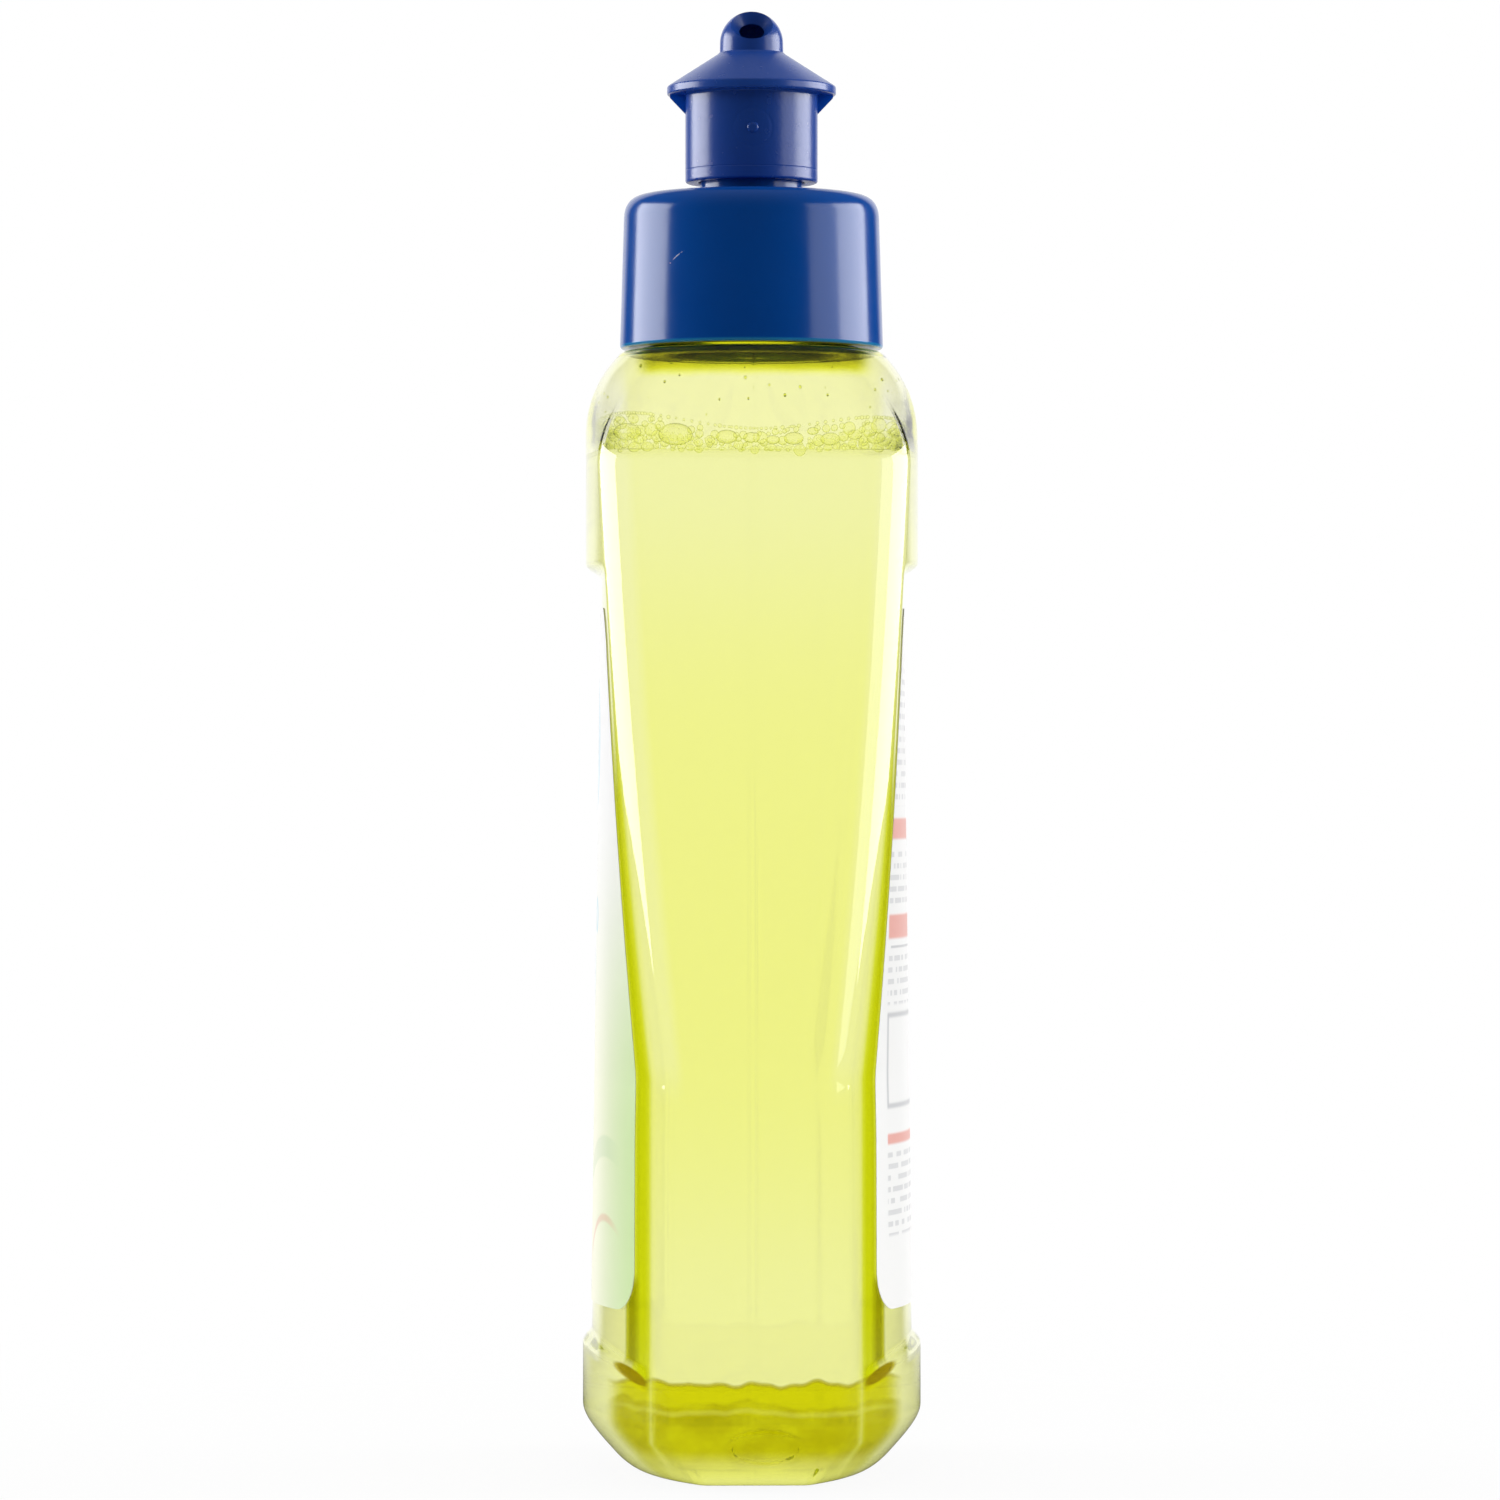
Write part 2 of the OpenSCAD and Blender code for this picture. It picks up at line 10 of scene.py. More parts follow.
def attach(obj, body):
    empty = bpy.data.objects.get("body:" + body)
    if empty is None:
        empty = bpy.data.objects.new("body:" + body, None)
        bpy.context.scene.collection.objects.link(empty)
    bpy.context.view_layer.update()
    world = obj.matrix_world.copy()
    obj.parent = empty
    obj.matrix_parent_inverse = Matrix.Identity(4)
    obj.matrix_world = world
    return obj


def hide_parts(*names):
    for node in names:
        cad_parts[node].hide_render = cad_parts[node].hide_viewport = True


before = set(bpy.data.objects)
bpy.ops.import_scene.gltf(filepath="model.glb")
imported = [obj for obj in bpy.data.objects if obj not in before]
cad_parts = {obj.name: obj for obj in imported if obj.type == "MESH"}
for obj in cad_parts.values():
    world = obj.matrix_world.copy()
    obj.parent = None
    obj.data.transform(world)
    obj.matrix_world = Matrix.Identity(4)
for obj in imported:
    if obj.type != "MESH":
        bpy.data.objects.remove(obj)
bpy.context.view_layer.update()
scene = bpy.context.scene
scene.view_settings.view_transform = "Standard"
scene.cycles.max_bounces = 40  # light turns many times inside the clear plastic
scene.cycles.transmission_bounces = 40
scene.cycles.glossy_bounces = 24
milli = 0.001  # the forms below are in millimetres, the scene is in metres
print("frame loaded:", ", ".join(sorted(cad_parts)))


# small helpers for curves

def mix(a, b, t):
    return a + (b - a) * t


def clamp01(t):
    return min(max(t, 0.0), 1.0)


def smooth(t):
    u = clamp01(t)
    return u * u * (3 - 2 * u)


def between(a, b, count):
    # count steps from just after a up to b
    return [mix(a, b, (i + 1) / count) for i in range(count)]


def arc(x, y, r, a, b, count=10):
    turns = [math.radians(mix(a, b, i / count)) for i in range(count + 1)]
    return [(x + r * math.cos(t), y + r * math.sin(t)) for t in turns]


def filleted(corners, steps=6):
    # corners are (r, z, fillet); each fillet becomes an arc that touches both sides
    points = []
    count = len(corners)
    for i, (r, z, fillet) in enumerate(corners):
        here = Vector((r, z))
        toLast = (Vector(corners[i - 1][:2]) - here)
        toNext = (Vector(corners[(i + 1) % count][:2]) - here)
        if fillet <= 0 or toLast.length < 1e-6 or toNext.length < 1e-6:
            points.append((r, z))
            continue
        half = toLast.angle(toNext) / 2
        reach = min(fillet / math.tan(half), 0.49 * toLast.length, 0.49 * toNext.length)
        start = here + toLast.normalized() * reach
        end = here + toNext.normalized() * reach
        for k in range(steps + 1):
            t = k / steps
            p = start.lerp(here, t).lerp(here.lerp(end, t), t)
            points.append((p.x, p.y))
    return points


# small helpers for meshes

def addMesh(name, points, faces, sharpAngle=None):
    mesh = bpy.data.meshes.new(name)
    mesh.from_pydata([tuple(c * milli for c in p) for p in points], [], faces)
    mesh.update()
    piece = bpy.data.objects.new(name, mesh)
    scene.collection.objects.link(piece)
    smoothShade(piece, sharpAngle)
    return piece


def smoothShade(piece, sharpAngle=None):
    piece.data.shade_smooth()
    if sharpAngle:
        piece.data.set_sharp_from_angle(angle=math.radians(sharpAngle))


def ringSkin(rings, first, last):
    # closed surface through rings of equal length, with a point at each end
    n, m = len(rings[0]), len(rings)
    points = [tuple(first)] + [tuple(p) for ring in rings for p in ring] + [tuple(last)]
    end = len(points) - 1
    faces = [(0, 1 + (i + 1) % n, 1 + i) for i in range(n)]
    for k in range(m - 1):
        a, b = 1 + k * n, 1 + (k + 1) * n
        faces += [(a + i, a + (i + 1) % n, b + (i + 1) % n, b + i) for i in range(n)]
    a = 1 + (m - 1) * n
    faces += [(end, a + i, a + (i + 1) % n) for i in range(n)]
    return points, faces


def latheLoop(loop, segments):
    # turns a closed loop of (r, z) round the upright axis
    count = len(loop)
    points = []
    for s in range(segments):
        t = 2 * math.pi * s / segments
        points += [(r * math.cos(t), r * math.sin(t), z) for r, z in loop]
    faces = []
    for s in range(segments):
        a, b = s * count, (s + 1) % segments * count
        for i in range(count):
            j = (i + 1) % count
            if loop[i][0] < 1e-6 and loop[j][0] < 1e-6:
                continue
            faces.append((a + i, b + i, b + j, a + j))
    return points, faces


def weld(piece, distance=1e-7):
    bm = bmesh.new()
    bm.from_mesh(piece.data)
    bmesh.ops.remove_doubles(bm, verts=bm.verts, dist=distance)
    bmesh.ops.dissolve_degenerate(bm, edges=bm.edges, dist=distance)
    bmesh.ops.recalc_face_normals(bm, faces=bm.faces)
    bm.to_mesh(piece.data)
    bm.free()


def joinShapes(shapes):
    points, faces = [], []
    for shapePoints, shapeFaces in shapes:
        start = len(points)
        points += shapePoints
        faces += [tuple(start + i for i in face) for face in shapeFaces]
    return points, faces


# small helpers for node trees

def newMaterial(name):
    material = bpy.data.materials.new(name)
    material.use_nodes = True
    tree = material.node_tree
    return material, tree, tree.nodes["Principled BSDF"], tree.nodes["Material Output"]


def feed(tree, value, socket):
    if isinstance(value, bpy.types.NodeSocket):
        tree.links.new(value, socket)
    elif hasattr(socket.default_value, "__len__") and len(value) == 3 and len(socket.default_value) == 4:
        socket.default_value = (*value, 1)
    else:
        socket.default_value = value


def calc(tree, operation, *values):
    node = tree.nodes.new("ShaderNodeMath")
    node.operation = operation
    for i, value in enumerate(values):
        feed(tree, value, node.inputs[i])
    return node.outputs[0]


def ease(tree, value, low, high):
    # 0 at low, 1 at high, eased between them
    node = tree.nodes.new("ShaderNodeMapRange")
    node.interpolation_type = "SMOOTHSTEP"
    feed(tree, value, node.inputs["Value"])
    feed(tree, low, node.inputs["From Min"])
    feed(tree, high, node.inputs["From Max"])
    return node.outputs["Result"]


def times(tree, *values):
    product = values[0]
    for value in values[1:]:
        product = calc(tree, "MULTIPLY", product, value)
    return product


def mask(tree, *ramps):
    # product of eased ramps, each a value with where it gives 0 and where it gives 1
    return times(tree, *(ease(tree, *ramp) for ramp in ramps))


def sizeOf(tree, value):
    return calc(tree, "ABSOLUTE", value)


def apart(tree, value, place):
    # how far a value is from a place, either way
    return sizeOf(tree, calc(tree, "SUBTRACT", value, place))


def span(tree, a, b):
    # long side of a right angle with these two legs
    return calc(tree, "SQRT", calc(tree, "ADD", times(tree, a, a), times(tree, b, b)))


def mixColour(tree, factor, first, second):
    node = tree.nodes.new("ShaderNodeMix")
    node.data_type = "RGBA"
    feed(tree, factor, node.inputs["Factor"])
    feed(tree, first, node.inputs[6])
    feed(tree, second, node.inputs[7])
    return node.outputs[2]


def mixVector(tree, factor, first, second):
    node = tree.nodes.new("ShaderNodeMix")
    node.data_type = "VECTOR"
    feed(tree, factor, node.inputs[0])
    feed(tree, first, node.inputs[4])
    feed(tree, second, node.inputs[5])
    return node.outputs[1]


def facing(tree, vector):
    # the vector, turned to the side of the surface that light comes from
    geometry = tree.nodes.new("ShaderNodeNewGeometry")
    dot = tree.nodes.new("ShaderNodeVectorMath")
    dot.operation = "DOT_PRODUCT"
    tree.links.new(geometry.outputs["Normal"], dot.inputs[0])
    tree.links.new(vector, dot.inputs[1])
    scale = tree.nodes.new("ShaderNodeVectorMath")
    scale.operation = "SCALE"
    tree.links.new(vector, scale.inputs[0])
    feed(tree, calc(tree, "SIGN", dot.outputs["Value"]), scale.inputs["Scale"])
    return scale.outputs[0]


def placeIn(tree):
    # x, y and z of the surface in millimetres, and the vector itself in metres
    coords = tree.nodes.new("ShaderNodeTexCoord")
    split = tree.nodes.new("ShaderNodeSeparateXYZ")
    tree.links.new(coords.outputs["Object"], split.inputs[0])
    x, y, z = (calc(tree, "MULTIPLY", split.outputs[i], 1000.0) for i in range(3))
    return x, y, z, coords.outputs["Object"]


def noise(tree, vector, scale, detail=2.0, stretch=None):
    if stretch:
        mapping = tree.nodes.new("ShaderNodeMapping")
        mapping.inputs["Scale"].default_value = stretch
        tree.links.new(vector, mapping.inputs["Vector"])
        vector = mapping.outputs[0]
    node = tree.nodes.new("ShaderNodeTexNoise")
    tree.links.new(vector, node.inputs["Vector"])
    node.inputs["Scale"].default_value = scale
    node.inputs["Detail"].default_value = detail
    return node.outputs["Fac"]


def bump(tree, height, strength, distance):
    node = tree.nodes.new("ShaderNodeBump")
    node.inputs["Strength"].default_value = strength
    node.inputs["Distance"].default_value = distance
    tree.links.new(height, node.inputs["Height"])
    return node.outputs["Normal"]


def clearMaterial(name, bend, soak, density):
    # see-through, with a tint that grows with the length that light crosses
    material, tree, shader, output = newMaterial(name)
    shader.inputs["Base Color"].default_value = (1, 1, 1, 1)
    shader.inputs["Transmission Weight"].default_value = 1
    shader.inputs["IOR"].default_value = bend
    tint = tree.nodes.new("ShaderNodeVolumeAbsorption")
    tint.inputs["Color"].default_value = (*soak, 1)
    tint.inputs["Density"].default_value = density
    tree.links.new(tint.outputs[0], output.inputs["Volume"])
    return material, tree, shader


def blendShaders(tree, share, first, second):
    node = tree.nodes.new("ShaderNodeMixShader")
    feed(tree, share, node.inputs[0])
    tree.links.new(first, node.inputs[1])
    tree.links.new(second, node.inputs[2])
    return node.outputs[0]


# form of the blown body, used by the bottle, its fill and its labels

bodyForm = {
    "bodyW": 63, "shoulderW": 40, "baseT": 43.3, "labelLowT": 41, "labelTopT": 38.4, "bandT": 42.6,
    "sideLowW": 26.5, "sideTopW": 39.6, "sideBow": 0.66, "facePower": 2.3,
    "cornerLow": 5.5, "cornerTop": 6.0, "cornerDepth": 0.68, "cornerTurn": 60,
    "cornerFromZ": 42, "cornerToZ": 56, "creaseZ": 51, "creaseSoft": 4, "wall": 0.8, "neckWall": 0.7,
    "heelH": 8.6, "heelSoft": 2.6, "standW": 2, "footEdge": 2.3, "footRise": 2.2,
    "pushUp": 3, "baseWall": 0.9, "basePower": 2.5,
    "baseStepZ": 17.25, "baseStepH": 1.9, "baseStepDip": 4, "dipFade": 12,
    "bandStepZ": 114.9, "bandStepH": 2, "shoulderZ": 132.5, "shoulderR": 14.5, "shoulderH": 10.7,
    "roundBelow": 4.5, "roundAbove": 7.5,
}
landZ = bodyForm["shoulderZ"] + bodyForm["shoulderH"]
roundFromZ = bodyForm["shoulderZ"] - bodyForm["roundBelow"]
roundToZ = bodyForm["shoulderZ"] + bodyForm["roundAbove"]


def shoulderIn(z):
    r, d = bodyForm["shoulderR"], max(z - bodyForm["shoulderZ"], 0)
    return r - math.sqrt(r * r - d * d)


shoulderDrop = shoulderIn(landZ)
landR = bodyForm["bandT"] / 2 - shoulderDrop


def sideX(z):
    d, soft = z - bodyForm["creaseZ"], bodyForm["creaseSoft"]
    ramp = 0 if d <= -soft else d if d >= soft else (d + soft) ** 2 / (4 * soft)
    lean = (bodyForm["bodyW"] - bodyForm["shoulderW"]) / 2 / (bodyForm["shoulderZ"] - bodyForm["creaseZ"])
    return bodyForm["bodyW"] / 2 - lean * ramp


def halfW(z):
    return sideX(z) + (landR - sideX(landZ)) * shoulderIn(z) / shoulderDrop


def climb(z):
    return clamp01((z - bodyForm["creaseZ"]) / (bodyForm["shoulderZ"] - bodyForm["creaseZ"]))


def sideHalf(z):
    t = climb(z)
    edge = mix(bodyForm["sideLowW"], bodyForm["sideTopW"], t) / 2
    return edge + 4 * bodyForm["sideBow"] * t * (1 - t) - shoulderIn(z)


def halfT(z):
    f = bodyForm
    low = smooth((z - f["baseStepZ"]) / f["baseStepH"] + 0.5)
    high = smooth((z - f["bandStepZ"]) / f["bandStepH"] + 0.5)
    t = clamp01((z - f["baseStepZ"]) / (f["bandStepZ"] - f["baseStepZ"]))
    panel = mix(f["labelLowT"], f["labelTopT"], t)
    return mix(mix(f["baseT"], panel, low), f["bandT"], high) / 2 - shoulderIn(z)


def faceY(x, a, s, t):
    return s + (t - s) * (1 - (x / a) ** bodyForm["facePower"])


def cornerSet(z):
    # width of the round corner as seen from the narrow side
    f = bodyForm
    share = smooth((z - f["cornerFromZ"]) / (f["cornerToZ"] - f["cornerFromZ"]))
    return mix(f["cornerLow"], f["cornerTop"], share)


def faceEdge(z):
    # where the face's curve would meet the narrow side, were the corner sharp
    a = halfW(z)
    q = 1 - (1 - cornerSet(z) * bodyForm["cornerDepth"] / a) ** bodyForm["facePower"]
    return (sideHalf(z) - halfT(z) * q) / (1 - q)


def heelIn(z):
    d, soft = max(bodyForm["heelH"] - z, 0), bodyForm["heelSoft"]
    return math.sqrt(d * d + soft * soft) - soft


# shares along the side, close together at the parting line and over the heel's mark
sideShares = [0, 0.007, 0.014, 0.024, 0.04] + between(0.04, 0.44, 18) + between(0.44, 1, 7)
cornerShares = between(0, 1, 14)
faceShares = between(0, 1, 18)
sideEnd, cornerEnd = 35, 51  # directions where side and corner end on the round shoulder
turnAngles = np.radians(
    [sideEnd * t for t in sideShares]
    + [mix(sideEnd, cornerEnd, t) for t in cornerShares]
    + [mix(cornerEnd, 90, t) for t in faceShares])


def quarter(z, g):
    a0, s0, t0 = halfW(z), faceEdge(z), halfT(z)
    slope = bodyForm["facePower"] * (t0 - s0) / a0
    a, t = a0 - g, t0 - g
    s = s0 + g * (slope - math.sqrt(1 + slope * slope))
    c = cornerSet(z) * max(1 - 0.9 * g / cornerSet(z), 0.3)
    d = c * bodyForm["cornerDepth"]
    e = faceY(a - d, a, s, t)
    low, end = np.array([a, e - c]), np.array([a - d, e])
    tip = np.array([a, e - d / math.tan(math.radians(bodyForm["cornerTurn"]))])
    points = [(a, (e - c) * k) for k in sideShares]
    points += [mix(mix(low, tip, k), mix(tip, end, k), k) for k in cornerShares]
    points += [((a - d) * (1 - k), faceY((a - d) * (1 - k), a, s, t)) for k in faceShares]
    points = np.array([tuple(p) for p in points])
    w = smooth((z - roundFromZ) / (roundToZ - roundFromZ))
    oval = np.stack([a * np.cos(turnAngles), t * np.sin(turnAngles)], 1)
    return mix(points, oval, w)


def circleQuarter(r):
    return r * np.stack([np.cos(turnAngles), np.sin(turnAngles)], 1)


def whole(q):
    # the full outline from its quarter, anticlockwise from above
    back = q[:0:-1]
    return np.concatenate([q[:-1], back * (-1, 1), -q[:-1], back * (1, -1)])


def dipAt(z):
    f = bodyForm
    foot, head = f["baseStepZ"] - f["baseStepH"] / 2, f["baseStepZ"] + f["baseStepH"] / 2
    rise = smooth((z - f["heelH"]) / (foot - f["heelH"]))
    return f["baseStepDip"] * rise * (1 - smooth((z - head) / f["dipFade"]))


def lift(outline, z):
    return np.column_stack([outline, np.full(len(outline), float(z))])


def bodyRing(z, g=0.0):
    ring = lift(whole(quarter(z, g)), z)
    ring[:, 2] -= dipAt(z) * (ring[:, 0] / halfW(z)) ** 2
    return ring


def heelRing(z, g=0.0):
    return lift(whole(quarter(0, heelIn(z) + g)), z)


footIn = heelIn(0) + bodyForm["footEdge"]


def footRings(edgeIn, z, g=0.0):
    # rounded foot from the edge of the standing ring up into the heel
    rise = bodyForm["footRise"]
    end = heelIn(z + rise) + g
    return [lift(whole(quarter(0, mix(edgeIn, end, k))), z + rise * k ** 2) for k in between(0, 1, 8)]


def baseRings(z, shares):
    # hollow of the base, from its edge at share 1 to the middle
    edge = whole(quarter(0, footIn + bodyForm["standW"]))
    return [lift(edge * k, z + bodyForm["pushUp"] * (1 - k ** bodyForm["basePower"])) for k in shares]


def bodyHeights(steps):
    f = bodyForm
    foot, head = f["baseStepZ"] - 0.75 * f["baseStepH"], f["baseStepZ"] + 0.75 * f["baseStepH"]
    low, high = f["bandStepZ"] - 0.75 * f["bandStepH"], f["bandStepZ"] + 0.75 * f["bandStepH"]
    crease = f["creaseZ"] - f["creaseSoft"], f["creaseZ"] + f["creaseSoft"]
    stops = [f["heelH"], foot, head, crease[0], crease[1], low, high, roundFromZ]
    heights = [f["heelH"]]
    for start, end, count in zip(stops, stops[1:], steps):
        heights += between(start, end, count)
    return heights


# bottle

neckForm = {
    "d": 25.2, "bore": 21.6, "h": 17.6, "fillet": 0.8, "beadD": 26.8, "beadRise": 2.2, "beadH": 1.4,
    "beadSoft": 0.3, "lip": 0.4,
}
threadForm = {
    "pitch": 4.233, "turns": 1.5, "height": 1.0, "crest": 0.55, "root": 1.05, "startZ": 149.6, "fade": 0.07,
}
markForm = {"y": 1.1, "z": 5.1, "halfW": 4.6, "halfH": 2.05, "line": 0.14, "height": 0.38}
partingLine = {"height": 0.08, "width": 0.16, "fromX": 12}
mouthZ = landZ + neckForm["h"]


def threadRidge(turn, z, startZ, form=threadForm):
    # height of a screw ridge at a turn (in whole turns from +X) and height z
    best = 0.0
    for lap in range(-1, 3):
        along = turn + lap
        if not 0 <= along <= form["turns"]:
            continue
        off = abs(z - startZ - form["pitch"] * along)
        flank = clamp01((form["root"] - off) / (form["root"] - form["crest"]))
        ends = smooth(along / form["fade"]) * smooth((form["turns"] - along) / form["fade"])
        best = max(best, form["height"] * flank * ends)
    return best


def moulded(ring):
    # parting line down both narrow sides, and the oval mark on the near heel
    out = ring.copy()
    y, z = ring[:, 1], ring[:, 2]
    side = np.where(np.abs(ring[:, 0]) > partingLine["fromX"], np.sign(ring[:, 0]), 0)
    out[:, 0] += side * partingLine["height"] * np.exp(-(y / partingLine["width"]) ** 2)
    m = markForm
    d = np.sqrt(((y - m["y"]) / m["halfW"]) ** 2 + ((z - m["z"]) / m["halfH"]) ** 2)
    out[:, 0] += np.where(side > 0, m["height"] * np.exp(-((d - 1) / m["line"]) ** 2), 0)
    return out


def neckRings():
    r, bore, f, lip = neckForm["d"] / 2, neckForm["bore"] / 2, neckForm["fillet"], neckForm["lip"]
    beadZ, beadR, soft = landZ + neckForm["beadRise"], neckForm["beadD"] / 2, neckForm["beadSoft"]
    beadTop, lipZ = beadZ + neckForm["beadH"], mouthZ - lip
    profile = [(landR - 0.12, landZ - 0.07), (landR - 0.4, landZ), (landR - 1.5, landZ), (r + f + 0.6, landZ)]
    profile += arc(r + f, landZ + f, f, 270, 180, 6)
    profile += [(r, beadZ), (beadR - soft, beadZ + soft), (beadR, beadZ + neckForm["beadH"] / 2)]
    profile += [(beadR - soft, beadTop - soft), (r, beadTop)]
    profile += [(r, z) for z in between(beadTop, lipZ, 52)]
    profile += arc(r - lip, lipZ, lip, 0, 90, 4) + arc(bore + lip, lipZ, lip, 90, 180, 4)
    profile += [(bore, z) for z in between(lipZ, landZ + 1, 5)]
    profile += [(bore + 0.1, landZ + 0.2), (bore + 0.4, landZ - 0.3)]
    profile += [(bore + 1, landZ - bodyForm["neckWall"])]
    rings = []
    for radius, z in profile:
        ring = lift(whole(circleQuarter(radius)), z)
        if beadTop < z < lipZ and radius == r:
            turns = np.arctan2(ring[:, 1], ring[:, 0]) / (2 * math.pi) % 1
            grown = np.array([1 + threadRidge(t, z, threadForm["startZ"]) / r for t in turns])
            ring[:, :2] *= grown[:, None]
        rings.append(ring)
    return rings


def makeBottle():
    f = bodyForm
    outside = baseRings(0, between(0, 1, 20))
    outside += [lift(whole(quarter(0, footIn + f["standW"] * k)), 0) for k in (0.75, 0.5, 0.25, 0)]
    outside += footRings(footIn, 0)
    outside += [heelRing(z) for z in between(f["footRise"], f["heelH"], 24)[:-1]]
    outside += [bodyRing(z) for z in bodyHeights([10, 14, 12, 10, 26, 14, 7])]
    outside += [bodyRing(z) for z in between(roundFromZ, landZ - 0.3, 30)]
    inside = baseRings(f["baseWall"], between(0, 1, 20))
    inside += footRings(footIn + f["standW"], f["baseWall"], f["wall"])
    inside += [heelRing(z, f["wall"]) for z in between(f["baseWall"] + f["footRise"], f["heelH"], 14)[:-1]]
    inside += [bodyRing(z, f["wall"]) for z in bodyHeights([8, 12, 9, 8, 18, 12, 5])]
    inside += [bodyRing(z, f["wall"]) for z in between(roundFromZ, landZ - f["neckWall"], 24)]
    rings = [moulded(ring) for ring in outside] + neckRings() + inside[::-1]
    points, faces = ringSkin(rings, (0, 0, f["pushUp"]), (0, 0, f["pushUp"] + f["baseWall"]))
    return addMesh("blown_bottle", points, faces)


# tint of the wall: colours, and the stretches over which each one comes in
wallTint = {
    "bend": 1.57, "soak": (0.955, 0.962, 0.03), "density": 150, "clear": (1, 1, 1),
    "middle": (0.99, 0.993, 0.73), "ends": (0.99, 0.993, 0.87), "middleZ": 73, "reach": 52,
    "headspace": (0.99, 0.993, 0.78), "fillZ": (129, 131), "innerY": (19.2, 15.5),
    # painted highlight: a strip inside each near corner, where the soft boxes reflect, left untinted
    "highlightOut": (-4.6, -3.0), "highlightIn": (-0.2, -1.0), "highlightZ": (47, 54), "highlightX": (6, 12),
    # painted shade: olive margin beside the label, for light that has crossed thick plastic at the corners
    "margin": (0.73, 0.77, 0.012), "marginEdge": (-0.5, 0.1), "marginIn": (8.1, 7.1),
    "marginTop": (121, 84), "marginFoot": (10, 14),
    # painted shade on the near wall between the label's lower corners and the step
    "under": (0.42, 0.41, 0.003), "underFoot": (14.5, 16), "underTop": (27, 25),
    "underIn": (9.9, 9.1), "underOut": (6.4, 7.4), "underX": (6, 10), "haze": 0.03,
}
# painted shade and painted light on the near side of the foot: the olive and dark zones, the dark edge line
# and the brown folds are painted shade, the pale lines are painted light
footLightAndShade = {
    "x": (16, 23), "y": (19.4, 17.2), "stretch": (0.3, 1, 0.01), "wave": 4.0, "notch": 3.4,
    "upper": (0.72, 0.69, 0.004), "upperZ": 11.6, "upperSoft": 0.25,
    "rim": (0.48, 0.42, 0.003), "rimOff": (0.4, 0.1), "rimShare": 0.7,
    "darkShade": (0.54, 0.5, 0.003), "pale": (0.68, 0.65, 0.008), "lowZ": (8.9, 8.4),
    "toe": (0.99, 0.993, 0.64), "toeZ": (5.2, 0.6),
    "line": (0.98, 0.98, 0.6), "lineY": 12.9, "lineOff": (0.5, 0.15), "lineTop": (18.5, 16),
    "lineFoot": (0.8, 2.2), "lineX": (16, 20), "lineShare": 0.5, "drawZ": 5.5, "draw": 0.8,
    "ledgeLight": (0.98, 0.98, 0.4), "ledgeZ": 8.7, "ledgeWave": 0.5, "ledgeOff": (0.5, 0.1), "ledgeShare": 0.2,
    "foldShade": (0.4, 0.3, 0.003), "foldY": 15.4, "foldZ": 14.0, "foldLong": 2.0, "foldHigh": 0.85,
    "foldRise": -0.5, "foldOff": (1.1, 0.8), "foldX": (14, 18), "foldRough": 0.12,
}
# painted shade under the cap: a streaky dark ring on the neck, with a painted light yellow line at its top
neckLightAndShade = {
    "x": (-1, 2), "y": (15.4, 12.6), "ragged": 0.8, "yellow": (0.96, 0.98, 0.04), "yellowZ": (139.2, 140.8),
    "olive": (0.42, 0.42, 0.02), "ringZ": (139.8, 141.6),
    "darkShade": (0.14, 0.136, 0.003), "darkZ": (140.9, 142.3),
    "litLine": (0.85, 0.86, 0.03), "brightZ": (142.9, 143.3), "streak": (0.6, 0.57, 0.02), "streakShare": 0.6,
}
stepGloss = {
    "z": 7.08, "climb": 0.466, "off": (1.9, 1.1), "x": (4, 9), "y": (13.2, 14.2), "share": 0.85,
    "edgeY": 12.9, "turn": 12, "most": 85,
}


def bodyPaint(tree, x, y, z):
    # leaning sides, with a painted highlight strip inside each corner and painted shade in an olive margin
    # beside the label
    f, t = bodyForm, wallTint
    tall = f["shoulderZ"] - f["creaseZ"]
    lean = (f["bodyW"] - f["shoulderW"]) / 2 / tall
    overCrease = calc(tree, "MAXIMUM", calc(tree, "SUBTRACT", z, f["creaseZ"]), 0.0)
    leaning = calc(tree, "MULTIPLY_ADD", overCrease, -lean, f["bodyW"] / 2)
    inFromSide = calc(tree, "SUBTRACT", leaning, sizeOf(tree, x))
    up = calc(tree, "DIVIDE", overCrease, tall)
    bow = times(tree, up, calc(tree, "SUBTRACT", 1.0, up), 4 * f["sideBow"])
    straight = calc(tree, "MULTIPLY_ADD", up, (f["sideTopW"] - f["sideLowW"]) / 2, f["sideLowW"] / 2)
    pastEdge = calc(tree, "SUBTRACT", sizeOf(tree, y), calc(tree, "ADD", straight, bow))
    offMiddle = calc(tree, "DIVIDE", calc(tree, "SUBTRACT", z, t["middleZ"]), t["reach"])
    body = mixColour(tree, ease(tree, times(tree, offMiddle, offMiddle), 0, 1), t["middle"], t["ends"])
    body = mixColour(tree, ease(tree, z, *t["fillZ"]), body, t["headspace"])
    paint = mixColour(tree, ease(tree, sizeOf(tree, y), *t["innerY"]), t["clear"], body)
    # painted highlight: the wall is left clear, so paler, down the inside of each near corner
    cornerHighlight = mask(tree, (pastEdge, *t["highlightOut"]), (pastEdge, *t["highlightIn"]),
                 (z, *t["highlightZ"]), (x, *t["highlightX"]))
    paint = mixColour(tree, cornerHighlight, paint, t["clear"])
    # painted shade: an olive margin beside the label, fading out towards the top, for light dimmed in thick
    # plastic at the corners
    margin = mask(tree, (pastEdge, *t["marginEdge"]), (inFromSide, *t["marginIn"]),
                  (z, *t["marginTop"]), (z, *t["marginFoot"]))
    paint = mixColour(tree, margin, paint, t["margin"])
    # painted shade: darker wall between the lower corner of the label and the step
    under = mask(tree, (z, *t["underFoot"]), (z, *t["underTop"]), (inFromSide, *t["underIn"]),
                 (inFromSide, *t["underOut"]), (x, *t["underX"]))
    return mixColour(tree, under, paint, t["under"])


